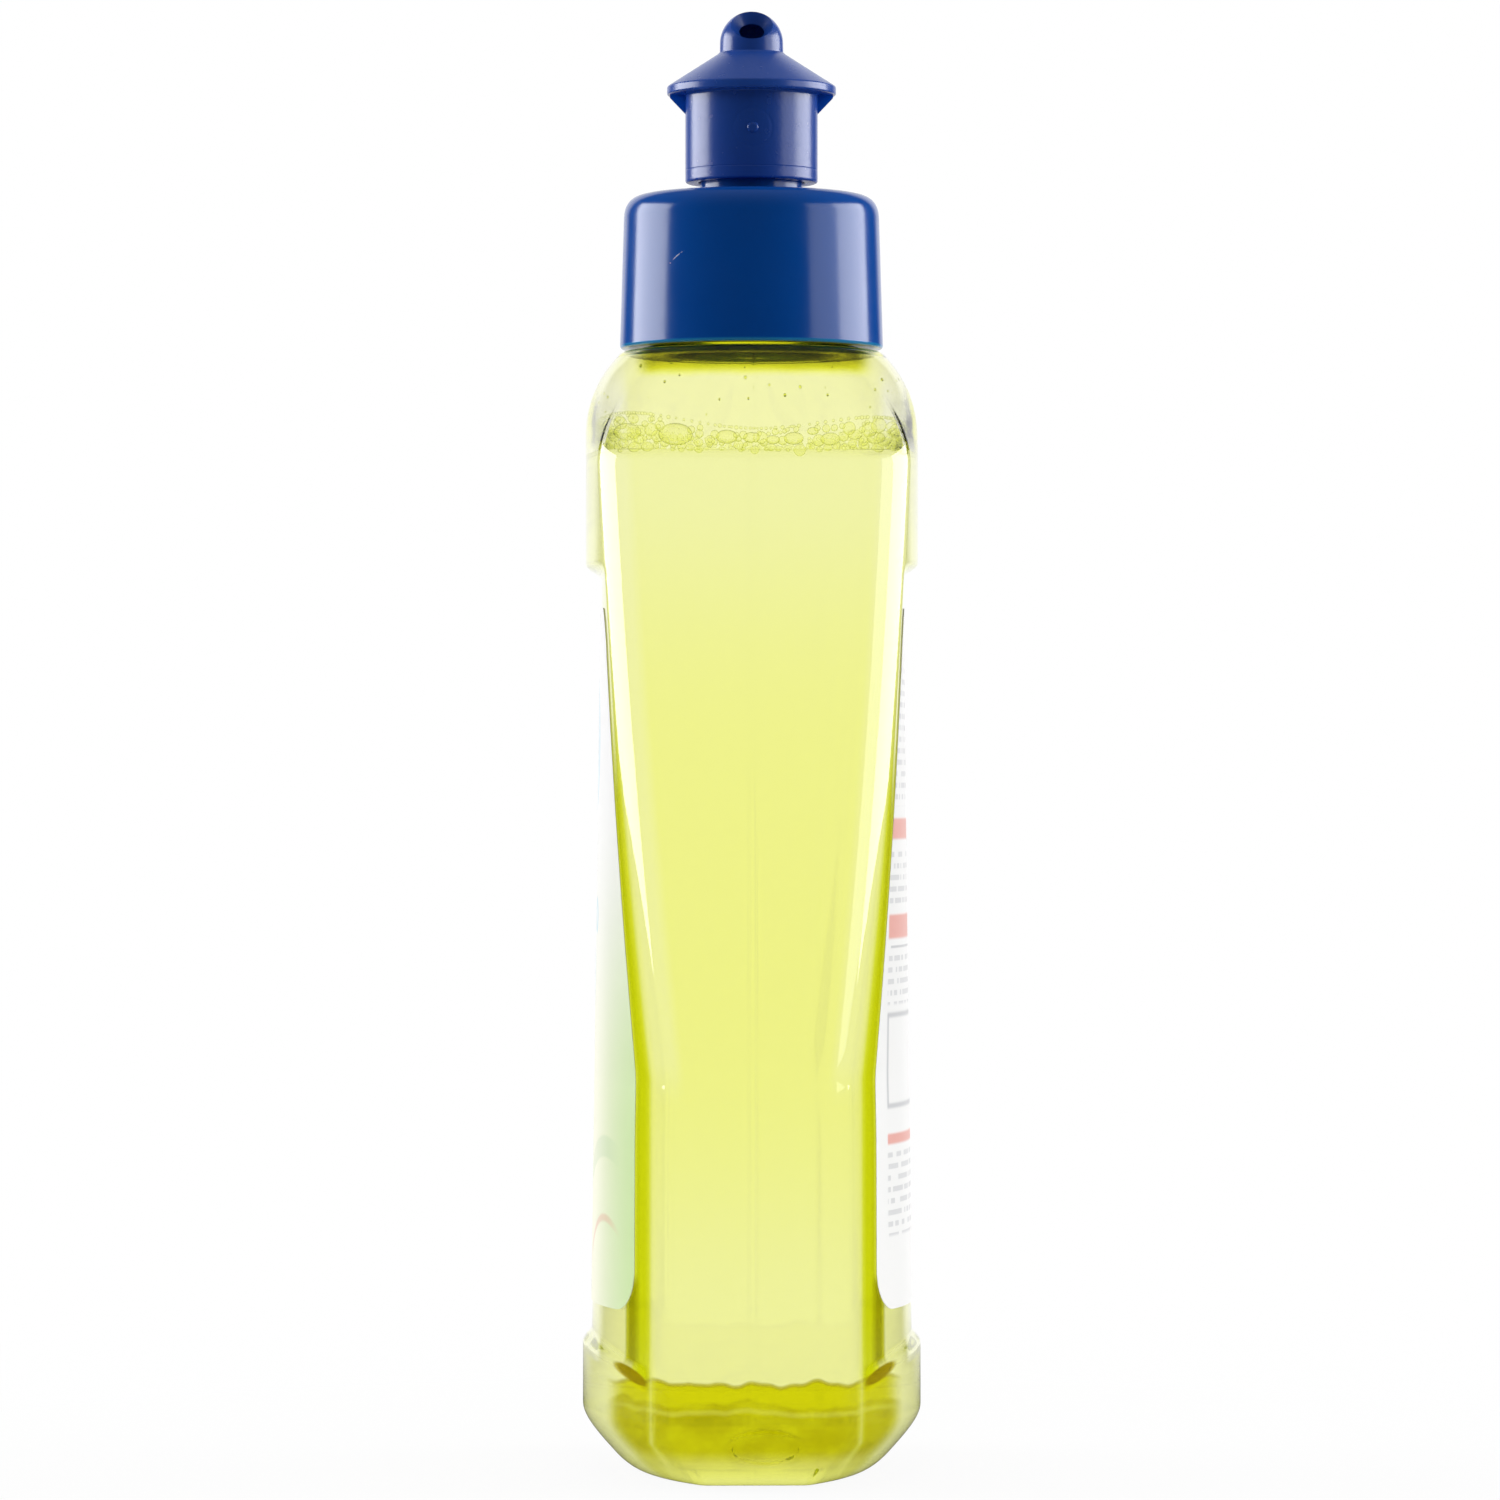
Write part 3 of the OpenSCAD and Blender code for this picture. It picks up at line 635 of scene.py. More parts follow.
def paintFootLightAndShade(tree, paint, x, y, z, place):
    # the thick foot: painted shade, dark below one wavy edge of the near wall, lighter up to another
    t, across = footLightAndShade, sizeOf(tree, y)
    within = mask(tree, (x, *t["x"]), (across, *t["y"]))
    notch = times(tree, noise(tree, place, 210, 1, stretch=t["stretch"]), t["notch"])
    top = calc(tree, "SUBTRACT", calc(tree, "SUBTRACT", z, notch), t["upperZ"])
    upper = times(tree, ease(tree, top, t["upperSoft"], -t["upperSoft"]), within)
    paint = mixColour(tree, upper, paint, t["upper"])
    # painted shade: a darker line along the notched edge
    rim = times(tree, ease(tree, sizeOf(tree, top), *t["rimOff"]), within, t["rimShare"])
    paint = mixColour(tree, rim, paint, t["rim"])
    wave = times(tree, noise(tree, place, 160, 2, stretch=t["stretch"]), t["wave"])
    blotch = noise(tree, place, 170, 3, stretch=(0.4, 1, 1.6))
    low = times(tree, ease(tree, calc(tree, "SUBTRACT", z, wave), *t["lowZ"]), within)
    paint = mixColour(tree, low, paint, mixColour(tree, ease(tree, blotch, 0.3, 0.7), t["darkShade"], t["pale"]))
    # at the very foot the painted shade gives way to a pale yellow
    paint = mixColour(tree, times(tree, ease(tree, z, *t["toeZ"]), within), paint, t["toe"])
    # painted light: pale line down each edge of the narrow side, drawn in at the foot, and a fainter one
    # across
    drawnIn = times(tree, calc(tree, "MAXIMUM", calc(tree, "SUBTRACT", t["drawZ"], z), 0.0), t["draw"])
    offLine = apart(tree, calc(tree, "ADD", across, drawnIn), t["lineY"])
    line = mask(tree, (offLine, *t["lineOff"]), (z, *t["lineTop"]), (z, *t["lineFoot"]), (x, *t["lineX"]))
    paint = mixColour(tree, times(tree, line, t["lineShare"]), paint, t["line"])
    offLedge = apart(tree, z, calc(tree, "MULTIPLY_ADD", wave, t["ledgeWave"], t["ledgeZ"]))
    ledgeLight = times(tree, ease(tree, offLedge, *t["ledgeOff"]), within, t["ledgeShare"])
    paint = mixColour(tree, ledgeLight, paint, t["ledgeLight"])
    # painted shade: brown folds where the lower step runs into the corners
    aside = calc(tree, "SUBTRACT", across, t["foldY"])
    along = calc(tree, "MULTIPLY_ADD", aside, t["foldRise"], calc(tree, "SUBTRACT", z, t["foldZ"]))
    oval = span(tree, calc(tree, "DIVIDE", aside, t["foldLong"]), calc(tree, "DIVIDE", along, t["foldHigh"]))
    foldShade = mask(tree, (oval, *t["foldOff"]), (x, *t["foldX"]))
    return mixColour(tree, foldShade, paint, t["foldShade"]), foldShade


def paintNeckLightAndShade(tree, paint, x, y, z, place):
    # painted shade: streaky dark ring under the neck on the outlet's side, with a yellow edge below it and a
    # painted light yellow line above it
    t = neckLightAndShade
    onside = mask(tree, (sizeOf(tree, y), *t["y"]), (x, *t["x"]))
    ringZ = calc(tree, "MULTIPLY_ADD", noise(tree, place, 220, 3, stretch=(1, 0.5, 2)), t["ragged"], z)
    paint = mixColour(tree, times(tree, ease(tree, ringZ, *t["yellowZ"]), onside), paint, t["yellow"])
    darkShade = mixColour(tree, ease(tree, z, *t["darkZ"]), t["olive"], t["darkShade"])
    # painted light: a bright yellow line at the top of the ring
    darkShade = mixColour(tree, ease(tree, z, *t["brightZ"]), darkShade, t["litLine"])
    streak = ease(tree, noise(tree, place, 400, 2, stretch=(1, 0.2, 2)), 0.4, 0.65)
    darkShade = mixColour(tree, times(tree, streak, t["streakShare"]), darkShade, t["streak"])
    return mixColour(tree, times(tree, ease(tree, ringZ, *t["ringZ"]), onside), paint, darkShade)


def softStep(tree, x, y, z, ripple):
    # the lower step is soft: near its line the gloss follows the corner
    s, across = stepGloss, sizeOf(tree, y)
    offStep = apart(tree, z, calc(tree, "MULTIPLY_ADD", across, s["climb"], s["z"]))
    step = times(tree, mask(tree, (offStep, *s["off"]), (x, *s["x"]), (across, *s["y"])), s["share"])
    turned = times(tree, calc(tree, "SUBTRACT", across, s["edgeY"]), math.radians(s["turn"]))
    turned = calc(tree, "MINIMUM", calc(tree, "MAXIMUM", turned, 0.0), math.radians(s["most"]))
    corner = tree.nodes.new("ShaderNodeCombineXYZ")
    feed(tree, calc(tree, "COSINE", turned), corner.inputs[0])
    feed(tree, times(tree, calc(tree, "SINE", turned), calc(tree, "SIGN", y)), corner.inputs[1])
    return mixVector(tree, step, ripple, facing(tree, corner.outputs[0]))


def tintedPet():
    w = wallTint
    material, tree, shader = clearMaterial("tinted_pet", w["bend"], w["soak"], w["density"])
    x, y, z, place = placeIn(tree)
    paint, foldShade = paintFootLightAndShade(tree, bodyPaint(tree, x, y, z), x, y, z, place)
    feed(tree, paintNeckLightAndShade(tree, paint, x, y, z, place), shader.inputs["Base Color"])
    haze = times(tree, noise(tree, place, 90, 3), w["haze"])
    feed(tree, calc(tree, "MULTIPLY_ADD", foldShade, footLightAndShade["foldRough"], haze), shader.inputs["Roughness"])
    ripple = bump(tree, noise(tree, place, 60, 1, stretch=(1, 1, 0.25)), 0.04, 0.0004)
    feed(tree, softStep(tree, x, y, z, ripple), shader.inputs["Normal"])
    return material


bottle = makeBottle()
bottle.data.materials.append(tintedPet())
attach(bottle, "bottle")
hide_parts("bottle")
print("bottle blown:", len(bottle.data.polygons), "faces")


# fill

fillForm = {
    "z": 129.2, "into": 0.15, "meniscus": 0.5, "bend": 1.35, "soak": (0.9, 0.93, 0.1), "density": 10,
    # climb of the liquid at the wall: inset from it, share of the whole climb
    "climb": ((0.2, 0.95), (0.45, 0.62), (0.8, 0.36), (1.3, 0.17), (2, 0.05), (3, 0)),
}


def makeLiquid():
    f, into = bodyForm, fillForm["into"]
    g, floor, top = f["wall"] - into, f["baseWall"] - into, fillForm["z"]
    rings = baseRings(floor, between(0, 1, 20))
    rings += footRings(footIn + f["standW"], floor, g)
    rings += [heelRing(z, g) for z in between(floor + f["footRise"], f["heelH"], 14)[:-1]]
    rings += [bodyRing(z, g) for z in bodyHeights([8, 12, 9, 8, 18, 12, 5])]
    rings += [bodyRing(top + fillForm["meniscus"], g)]
    for inset, rise in fillForm["climb"]:
        level = whole(quarter(top, g + inset))
        rings.append(lift(level, top + fillForm["meniscus"] * rise))
    rings += [lift(level * k, top) for k in (0.75, 0.5, 0.25)]
    points, faces = ringSkin(rings, (0, 0, f["pushUp"] + floor), (0, 0, top))
    return addMesh("rinse_liquid", points, faces)


def rinseAid():
    f = fillForm
    material, tree, shader = clearMaterial("rinse_aid", f["bend"], f["soak"], f["density"])
    x, y, z, place = placeIn(tree)
    feed(tree, times(tree, noise(tree, place, 40, 1), 0.006), shader.inputs["Roughness"])
    return material


liquid = makeLiquid()
liquid.data.materials.append(rinseAid())
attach(liquid, "bottle")
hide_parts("liquid")
print("bottle filled up to", fillForm["z"], "mm")


# foam along the wall and drops in the headspace

foamForm = {
    "seed": 7, "lowZ": 129.2, "film": 0.03, "froth": 700, "tries": 9000, "flat": (0.85, 1.25, 0.8),
    "edgeZ": 133.2, "edgeSwell": 0.85, "edgeTilt": 0.4, "edgeStep": 0.45, "edgeR": (0.16, 0.27),
    # the larger bubbles on the near side: place across it, height, radius
    "large": ((-15.9, 131.9, 1.35), (-9.9, 131.6, 1.75), (-3.5, 131.3, 1.1), (-0.4, 131.2, 0.85),
              (2.3, 130.9, 0.7), (4.9, 131.1, 1.0), (7.3, 132, 0.6), (9.5, 131, 1.0),
              (12.6, 131.5, 0.75), (15.2, 131.1, 0.9)),
}
dropForm = {"seed": 3, "count": 30, "lowZ": 134.6, "highZ": 141, "radius": (0.1, 0.26)}
# how far each skin bends light, and how dense its tint is
skinForm = {
    "soak": (0.92, 0.95, 0.04),
    "bubble_film": (1.26, 6000), "froth_film": (1.1, 4500), "drop_water": (1.33, 4500),
}


def ball(centre, radius, flat=(1, 1, 1), around=14, up=8, inward=False):
    points = [(0, 0, -1)]
    for k in range(1, up):
        a = math.pi * k / up - math.pi / 2
        for i in range(around):
            t = 2 * math.pi * i / around
            points.append((math.cos(a) * math.cos(t), math.cos(a) * math.sin(t), math.sin(a)))
    points.append((0, 0, 1))
    last = len(points) - 1
    faces = [(0, 1 + (i + 1) % around, 1 + i) for i in range(around)]
    for k in range(up - 2):
        a, b = 1 + k * around, 1 + (k + 1) * around
        faces += [(a + i, a + (i + 1) % around, b + (i + 1) % around, b + i) for i in range(around)]
    a = 1 + (up - 2) * around
    faces += [(last, a + i, a + (i + 1) % around) for i in range(around)]
    if inward:
        faces = [face[::-1] for face in faces]
    c = np.array(points) * np.array(flat) * radius + np.array(centre)
    return [tuple(p) for p in c], faces


def wallPoint(z, share, inset):
    # a point at a share of the way round the inner wall, and the way in from it
    ring = bodyRing(z, bodyForm["wall"] + inset)
    lengths = np.linalg.norm(np.roll(ring, -1, 0) - ring, axis=1)
    reach = share * lengths.sum()
    i = int(np.searchsorted(np.cumsum(lengths), reach)) % len(ring)
    inner = bodyRing(z, bodyForm["wall"] + inset + 1)[i]
    return ring[i], (inner - ring[i]) / np.linalg.norm(inner - ring[i])


def foamTop(share):
    # height of the foam's edge round the wall, highest near the corners
    f, turn = foamForm, 2 * math.pi * share
    return f["edgeZ"] - f["edgeSwell"] * math.cos(4 * turn) - f["edgeTilt"] * math.sin(turn)


def makeFoam():
    form, wall = foamForm, bodyForm["wall"]
    draw = random.Random(form["seed"])
    placed, shapes, large = [], [], []
    wallRing = bodyRing(form["lowZ"] + 2, wall)
    around = float(np.linalg.norm(np.roll(wallRing, -1, 0) - wallRing, axis=1).sum())

    def add(centre, radius, crowd, fine, flat=(1, 1, 1), kind=shapes):
        if any(np.linalg.norm(centre - c) < crowd * (radius + r) for c, r in placed):
            return
        placed.append((centre, radius))
        size = (16, 10) if fine else (8, 5)
        inner = radius - min(form["film"], 0.2 * radius)
        kind.append(ball(centre, radius, flat, *size))
        kind.append(ball(centre, inner, flat, *size, inward=True))

    for side in (1, -1):
        for across, z, radius in form["large"]:
            ring = bodyRing(z, wall)
            near = ring[np.argmin(np.abs(ring[:, 1] - across) + np.where(ring[:, 0] > 0, 0, 1e3))]
            centre = np.array([near[0] - 0.8 * radius, across, z])
            add(centre * (side, side, 1), radius, 0.7, True, form["flat"], large)
    steps = int(around / form["edgeStep"])
    for i in range(steps):  # a string of small bubbles along the upper edge
        share = (i + draw.uniform(-0.2, 0.2)) / steps % 1
        radius = draw.uniform(*form["edgeR"])
        spot, way = wallPoint(foamTop(share), share, 0.02)
        add(spot + way * radius * 0.9, radius, 0.8, False)
    for attempt in range(form["tries"]):  # froth between, the larger bubbles first
        if len(placed) >= form["froth"]:
            break
        early = attempt / form["tries"]
        radius = mix(0.85, 0.2, clamp01(early * 3) ** 0.6) * draw.uniform(0.75, 1.15)
        share = draw.random()
        z = draw.uniform(form["lowZ"] + 0.2, max(foamTop(share) - radius, form["lowZ"] + 0.3))
        spot, way = wallPoint(z, share, 0.02)
        depth = radius * draw.uniform(0.85, 1.0) + draw.choice((0, 0, 0.5))
        add(spot + way * depth, radius, 0.82, radius > 0.55)
    print("foam of", len(placed), "bubbles")
    return addMesh("foam_bubbles", *joinShapes(large)), addMesh("foam_froth", *joinShapes(shapes))


def makeDrops():
    draw = random.Random(dropForm["seed"])
    shapes = []
    for i in range(dropForm["count"]):
        z = draw.uniform(dropForm["lowZ"], dropForm["highZ"])
        spot, way = wallPoint(z, draw.random(), 0.0)
        shapes.append(ball(spot, draw.uniform(*dropForm["radius"]), flat=(0.8, 0.8, 1), around=12, up=7))
    return addMesh("wall_drops", *joinShapes(shapes))


def wetSkin(name):
    material, tree, shader = clearMaterial(name, skinForm[name][0], skinForm["soak"], skinForm[name][1])
    x, y, z, place = placeIn(tree)
    feed(tree, times(tree, noise(tree, place, 500, 2), 0.05), shader.inputs["Roughness"])
    return material


bubbles, froth = makeFoam()
drops = makeDrops()
for piece, skin in ((bubbles, "bubble_film"), (froth, "froth_film"), (drops, "drop_water")):
    piece.data.materials.append(wetSkin(skin))
    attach(piece, "bottle")


# labels

labelForm = {
    "footZ": 21.8, "headZ": 110, "margin": 7, "corner": 5, "glue": 0.08, "thick": 0.05,
    "columns": 48, "rows": 56,
}


def panelPoint(f, z, g):
    a, s, t = halfW(z), faceEdge(z), halfT(z)
    x = f * (a - labelForm["margin"])
    f = x / a
    slope = bodyForm["facePower"] * (t - s) / a * abs(f) ** (bodyForm["facePower"] - 1)
    long = math.sqrt(1 + slope * slope)
    return x + g * math.copysign(slope, f) / long, faceY(abs(x), a, s, t) + g / long, z


def labelGrid(g, side):
    form, grid = labelForm, []
    for row in range(form["rows"] + 1):
        for column in range(form["columns"] + 1):
            t = column / form["columns"]
            f = mix(-1, 1, mix(t, smooth(t), 0.7))
            fromEdge = (1 - abs(f)) * (halfW(form["footZ"]) - form["margin"])
            u = clamp01(1 - fromEdge / form["corner"])
            cut = form["corner"] * (1 - math.sqrt(1 - 0.998 * u * u))
            z = mix(form["footZ"] + cut, form["headZ"] - cut, row / form["rows"])
            x, y, z = panelPoint(f, z, g)
            grid.append((x, y * side, z))
    return grid


def makeLabel(name, side):
    rows, columns = labelForm["rows"] + 1, labelForm["columns"] + 1
    inner = labelGrid(labelForm["glue"], side)
    outer = labelGrid(labelForm["glue"] + labelForm["thick"], side)
    size = len(inner)
    printed, plain = [], []
    for r in range(rows - 1):
        for c in range(columns - 1):
            a = r * columns + c
            quad = (a, a + 1, a + columns + 1, a + columns)
            printed.append(tuple(size + i for i in quad))
            plain.append(quad[::-1])
    rim = list(range(columns)) + [r * columns + columns - 1 for r in range(1, rows)]
    rim += [(rows - 1) * columns + c for c in range(columns - 2, -1, -1)]
    rim += [r * columns for r in range(rows - 2, 0, -1)]
    plain += [(a, b, size + b, size + a) for a, b in zip(rim, rim[1:] + rim[:1])]
    faces = printed + plain
    if side > 0:
        faces = [face[::-1] for face in faces]
    piece = addMesh(name, inner + outer, faces, 40)
    for i, polygon in enumerate(piece.data.polygons):
        polygon.material_index = 0 if i < len(printed) else 1
    return piece


frontInk = {
    "white": (0.96, 0.96, 0.96), "cream": (0.95, 0.95, 0.76), "creamZ": (88, 44),
    "green": (0.45, 0.74, 0.22), "greenX": (6, 30), "greenShare": 0.78,
    # rising waves across the lower field: height, swell, thickness, colour, strength
    "waves": ((36, 6, 1.6, (0.1, 0.42, 0.12), 0.16), (24, 9, 0.7, (0.75, 0.13, 0.1), 0.3)),
    "waveTurn": 0.11, "waveX": (21, 15),
    "plaqueZ": 93, "plaqueW": 8, "plaqueH": 9, "plaqueRim": (0.62, 0.8, 0.9), "plaque": (0.86, 0.93, 0.95),
    # drops under the plaque: place across, height, radius
    "drops": ((-8, 70, 3.6), (-1, 64, 4.6), (5, 71, 2.6)),
    "drop": (0.35, 0.68, 0.85), "glint": (0.9, 0.95, 0.97),
}
backInk = {
    "paper": (0.95, 0.95, 0.94), "salmon": (0.86, 0.36, 0.3), "ink": (0.42, 0.43, 0.46), "endX": 21,
    # bars and blocks of broken lines: lower edge, upper edge, where they begin
    "bars": ((80.8, 83.4, -8), (68.3, 71.3, -4), (42.5, 43.8, -12)),
    "blocks": ((85, 103, -16), (72.5, 79.5, -19), (60, 66.5, -20), (31, 41.5, -21)),
    "pitch": 1.45, "inkShare": 0.45, "stroke": 0.8, "gaps": 0.3,
    "box": (0, 21, 47, 59), "boxLine": 0.6, "rule": (-20, 20, 67.1, 67.4),
}


def boxMask(tree, x, z, left, right, low, high, soft=0.25):
    return mask(tree, (x, left - soft, left + soft), (x, right + soft, right - soft),
                (z, low - soft, low + soft), (z, high + soft, high - soft))


def frontPrint():
    material, tree, shader, output = newMaterial("front_print")
    x, y, z, place = placeIn(tree)
    k, fromMiddle = frontInk, sizeOf(tree, x)
    low = ease(tree, z, *k["creamZ"])
    paint = mixColour(tree, low, k["white"], k["cream"])
    green = times(tree, ease(tree, fromMiddle, *k["greenX"]), low, k["greenShare"])
    paint = mixColour(tree, green, paint, k["green"])
    for height, swell, thick, colour, strength in k["waves"]:
        wave = times(tree, calc(tree, "SINE", times(tree, x, k["waveTurn"])), swell)
        offWave = apart(tree, calc(tree, "SUBTRACT", z, height), wave)
        inside = mask(tree, (fromMiddle, *k["waveX"]), (offWave, thick, thick - 0.5))
        paint = mixColour(tree, times(tree, inside, strength), paint, colour)
    # plain oval plaque, and three drops under it
    upward = calc(tree, "DIVIDE", calc(tree, "SUBTRACT", z, k["plaqueZ"]), k["plaqueH"])
    sideways = calc(tree, "DIVIDE", x, k["plaqueW"])
    plaque = calc(tree, "ADD", times(tree, sideways, sideways), times(tree, upward, upward))
    paint = mixColour(tree, ease(tree, plaque, 1.02, 0.96), paint, k["plaqueRim"])
    paint = mixColour(tree, times(tree, ease(tree, plaque, 0.86, 0.8), 0.5), paint, k["plaque"])
    for dropX, dropZ, size in k["drops"]:
        away = span(tree, calc(tree, "SUBTRACT", x, dropX), calc(tree, "SUBTRACT", z, dropZ))
        paint = mixColour(tree, times(tree, ease(tree, away, size, size - 0.5), 0.55), paint, k["drop"])
        paint = mixColour(tree, ease(tree, away, size * 0.72, size * 0.2), paint, k["glint"])
    feed(tree, paint, shader.inputs["Base Color"])
    finishFilm(tree, shader, place)
    return material


def backPrint():
    # coloured bars and blocks of broken lines
    material, tree, shader, output = newMaterial("back_print")
    x, y, z, place = placeIn(tree)
    k, paint = backInk, backInk["paper"]
    for low, high, start in k["bars"]:
        bar = boxMask(tree, x, z, start, k["endX"], low, high)
        paint = mixColour(tree, times(tree, bar, 0.85), paint, k["salmon"])
    row = calc(tree, "FLOOR", calc(tree, "DIVIDE", z, k["pitch"]))
    along = calc(tree, "FRACT", calc(tree, "DIVIDE", z, k["pitch"]))
    line = mask(tree, (along, 0.12, 0.2), (along, k["inkShare"] + 0.2, k["inkShare"] + 0.12))
    gaps = tree.nodes.new("ShaderNodeTexWhiteNoise")
    gaps.noise_dimensions = "2D"
    cell = tree.nodes.new("ShaderNodeCombineXYZ")
    feed(tree, calc(tree, "FLOOR", calc(tree, "DIVIDE", x, k["stroke"])), cell.inputs[0])
    feed(tree, row, cell.inputs[1])
    tree.links.new(cell.outputs[0], gaps.inputs["Vector"])
    strokes = times(tree, line, calc(tree, "GREATER_THAN", gaps.outputs["Value"], k["gaps"]))
    for low, high, start in k["blocks"]:
        block = boxMask(tree, x, z, start, k["endX"], low, high)
        paint = mixColour(tree, times(tree, block, strokes, 0.4), paint, k["ink"])
    # empty ruled box and a thin rule
    left, right, low, high = k["box"]
    b = k["boxLine"]
    inside = boxMask(tree, x, z, left + b, right - b, low + b, high - b)
    boxLine = calc(tree, "SUBTRACT", boxMask(tree, x, z, *k["box"]), inside)
    ruled = calc(tree, "MAXIMUM", boxLine, boxMask(tree, x, z, *k["rule"], 0.1))
    feed(tree, mixColour(tree, times(tree, ruled, 0.6), paint, k["ink"]), shader.inputs["Base Color"])
    finishFilm(tree, shader, place)
    return material


def finishFilm(tree, shader, place):
    grain = noise(tree, place, 900, 2)
    feed(tree, calc(tree, "MULTIPLY_ADD", grain, 0.12, 0.3), shader.inputs["Roughness"])
    feed(tree, bump(tree, noise(tree, place, 120, 2), 0.05, 0.0003), shader.inputs["Normal"])


def labelBack():
    material, tree, shader, output = newMaterial("label_back")
    x, y, z, place = placeIn(tree)
    cloud = noise(tree, place, 200, 2)
    feed(tree, mixColour(tree, cloud, (0.9, 0.9, 0.87), (0.94, 0.94, 0.92)), shader.inputs["Base Color"])
    shader.inputs["Roughness"].default_value = 0.6
    return material


backing = labelBack()
labelKinds = (
    ("front_label_film", -1, "front_print", frontPrint),
    ("back_label_film", 1, "back_print", backPrint))
for name, side, slot, ink in labelKinds:
    label = makeLabel(name, side)
    label.data.materials.append(ink())
    label.data.materials.append(backing)
    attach(label, "bottle")
    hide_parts("front_label" if side < 0 else "back_label")
print("labels stuck on")


# screw cap with its turret, spokes and valve pin

capForm = {
    "rimD": 33.8, "topD": 32.6, "corner": 3, "boreD": 28, "wall": 1.5, "gap": 0.4,
    "wad": 1, "wadD": 27, "wadHole": 17, "wadSoft": 0.2,
    "bossD": 15.5, "bossH": 0.5, "turretD": 13.2, "turretBore": 10.6, "keeperH": 1.2,
    "pinD": 3.6, "pinReach": 2.9, "spokes": 3, "spokeW": 1.2, "spokeH": 3, "segments": 160,
}
spoutForm = {
    "sleeveD": 17, "boreD": 14.4, "depth": 10.7, "gap": 1.1, "travel": 5.5, "lipH": 1.2, "plate": 0.6,
    "hatD": 21.7, "rimH": 1.05, "coneH": 4.15, "coneTopD": 8.8, "domeD": 8.1, "domeRise": 1.5,
    "webT": 0.8, "webDrop": 2.4, "throatD": 4.1, "throatL": 3.4, "chamberD": 4.8,
    "outletD": 3.2, "outletRimD": 5.4, "lean": 44, "slide": 0.25, "seat": 0.2, "stop": 0.2,
    "inSoft": 0.3, "segments": 128,
}
ceilingZ = mouthZ + capForm["wad"]
capTopZ = ceilingZ + capForm["wall"]
capRimZ = landZ + capForm["gap"]
sleeveZ = capTopZ + capForm["bossH"] + spoutForm["gap"]
throatZ = sleeveZ + spoutForm["depth"]
turretTopZ = throatZ - spoutForm["seat"]
keeperZ = sleeveZ + spoutForm["lipH"] + spoutForm["travel"] + spoutForm["stop"]


def makeCap():
    c = capForm
    boss, turret, bore = c["bossD"] / 2, c["turretD"] / 2, c["turretBore"] / 2
    keeper = spoutForm["boreD"] / 2 - spoutForm["slide"]
    bossZ = capTopZ + c["bossH"]
    corners = [
        (bore, ceilingZ, 0.3), (c["boreD"] / 2, ceilingZ, 0.4), (c["boreD"] / 2, capRimZ, 0.2),
        (c["rimD"] / 2, capRimZ, 0.45), (c["topD"] / 2, capTopZ, c["corner"]), (boss, capTopZ, 0.25),
        (boss, bossZ, 0.2), (turret, bossZ, 0.2), (turret, keeperZ, 0), (keeper, keeperZ + 0.3, 0.15),
        (keeper, keeperZ + c["keeperH"] - 0.3, 0.15), (turret, keeperZ + c["keeperH"], 0),
        (turret, turretTopZ, 0.3), (bore, turretTopZ, 0.3)]
    shapes = [latheLoop(filleted(corners, 8), c["segments"])]
    footZ = turretTopZ - c["spokeH"]
    pinTop = throatZ + c["pinReach"]
    pin = [(0, footZ, 0), (c["pinD"] / 2, footZ, 0.3), (c["pinD"] / 2, pinTop, 0.5), (0, pinTop, 0)]
    shapes.append(latheLoop(filleted(pin), 40))
    half, reach = c["spokeW"] / 2, bore + 0.4
    foot = ((0, -half), (reach, -half), (reach, half), (0, half))
    faces = [(3, 2, 1, 0), (4, 5, 6, 7), (0, 1, 5, 4), (1, 2, 6, 5), (2, 3, 7, 6), (3, 0, 4, 7)]
    for i in range(c["spokes"]):
        turn = Matrix.Rotation(2 * math.pi * i / c["spokes"], 3, "Z")
        corners = [turn @ Vector((x, y, z)) for z in (footZ, turretTopZ) for x, y in foot]
        shapes.append(([tuple(corner) for corner in corners], faces))
    piece = addMesh("screw_cap", *joinShapes(shapes))
    weld(piece)
    smoothShade(piece, 35)
    return piece


def makeCapThread():
    # inner screw ridge of the cap, half a pitch below the neck's
    form, count = threadForm, 220
    r, root, crest = capForm["boreD"] / 2, form["root"], form["crest"]
    startZ = form["startZ"] - form["pitch"] / 2
    rings = []
    for i in range(count + 1):
        along = i / count * form["turns"]
        ends = smooth(along / form["fade"]) * smooth((form["turns"] - along) / form["fade"])
        low, high = r + 0.15, r - form["height"] * max(ends, 0.02)
        z, t = startZ + form["pitch"] * along, 2 * math.pi * along
        section = [(low, -root), (low, root), (high, crest), (high, -crest)]
        rings.append([(a * math.cos(t), a * math.sin(t), z + b) for a, b in section])
    ends = [tuple(np.mean(rings[k], 0)) for k in (0, -1)]
    piece = addMesh("cap_thread", *ringSkin(rings, *ends))
    weld(piece)
    smoothShade(piece, 30)
    return piece


capPaint = {
    # the rim colour is a painted highlight along the lower edge of the skirt
    "blue": (0.0004, 0.066, 0.35), "cloud": (0.0008, 0.082, 0.41), "rim": (0.02, 0.3, 0.62), "rimShare": 0.8,
    "rimGlintFrom": 0.55, "rimGlintTo": 0.2, "rough": 0.12, "rub": 0.1,
    # short scuff on the skirt: middle, half its run, its bow and width
    "scuff": (0.62, 0.68, 0.8), "y": -9.6, "z": 154.6, "dy": 0.95, "dz": 0.75, "bow": -0.22, "wide": 0.1,
}


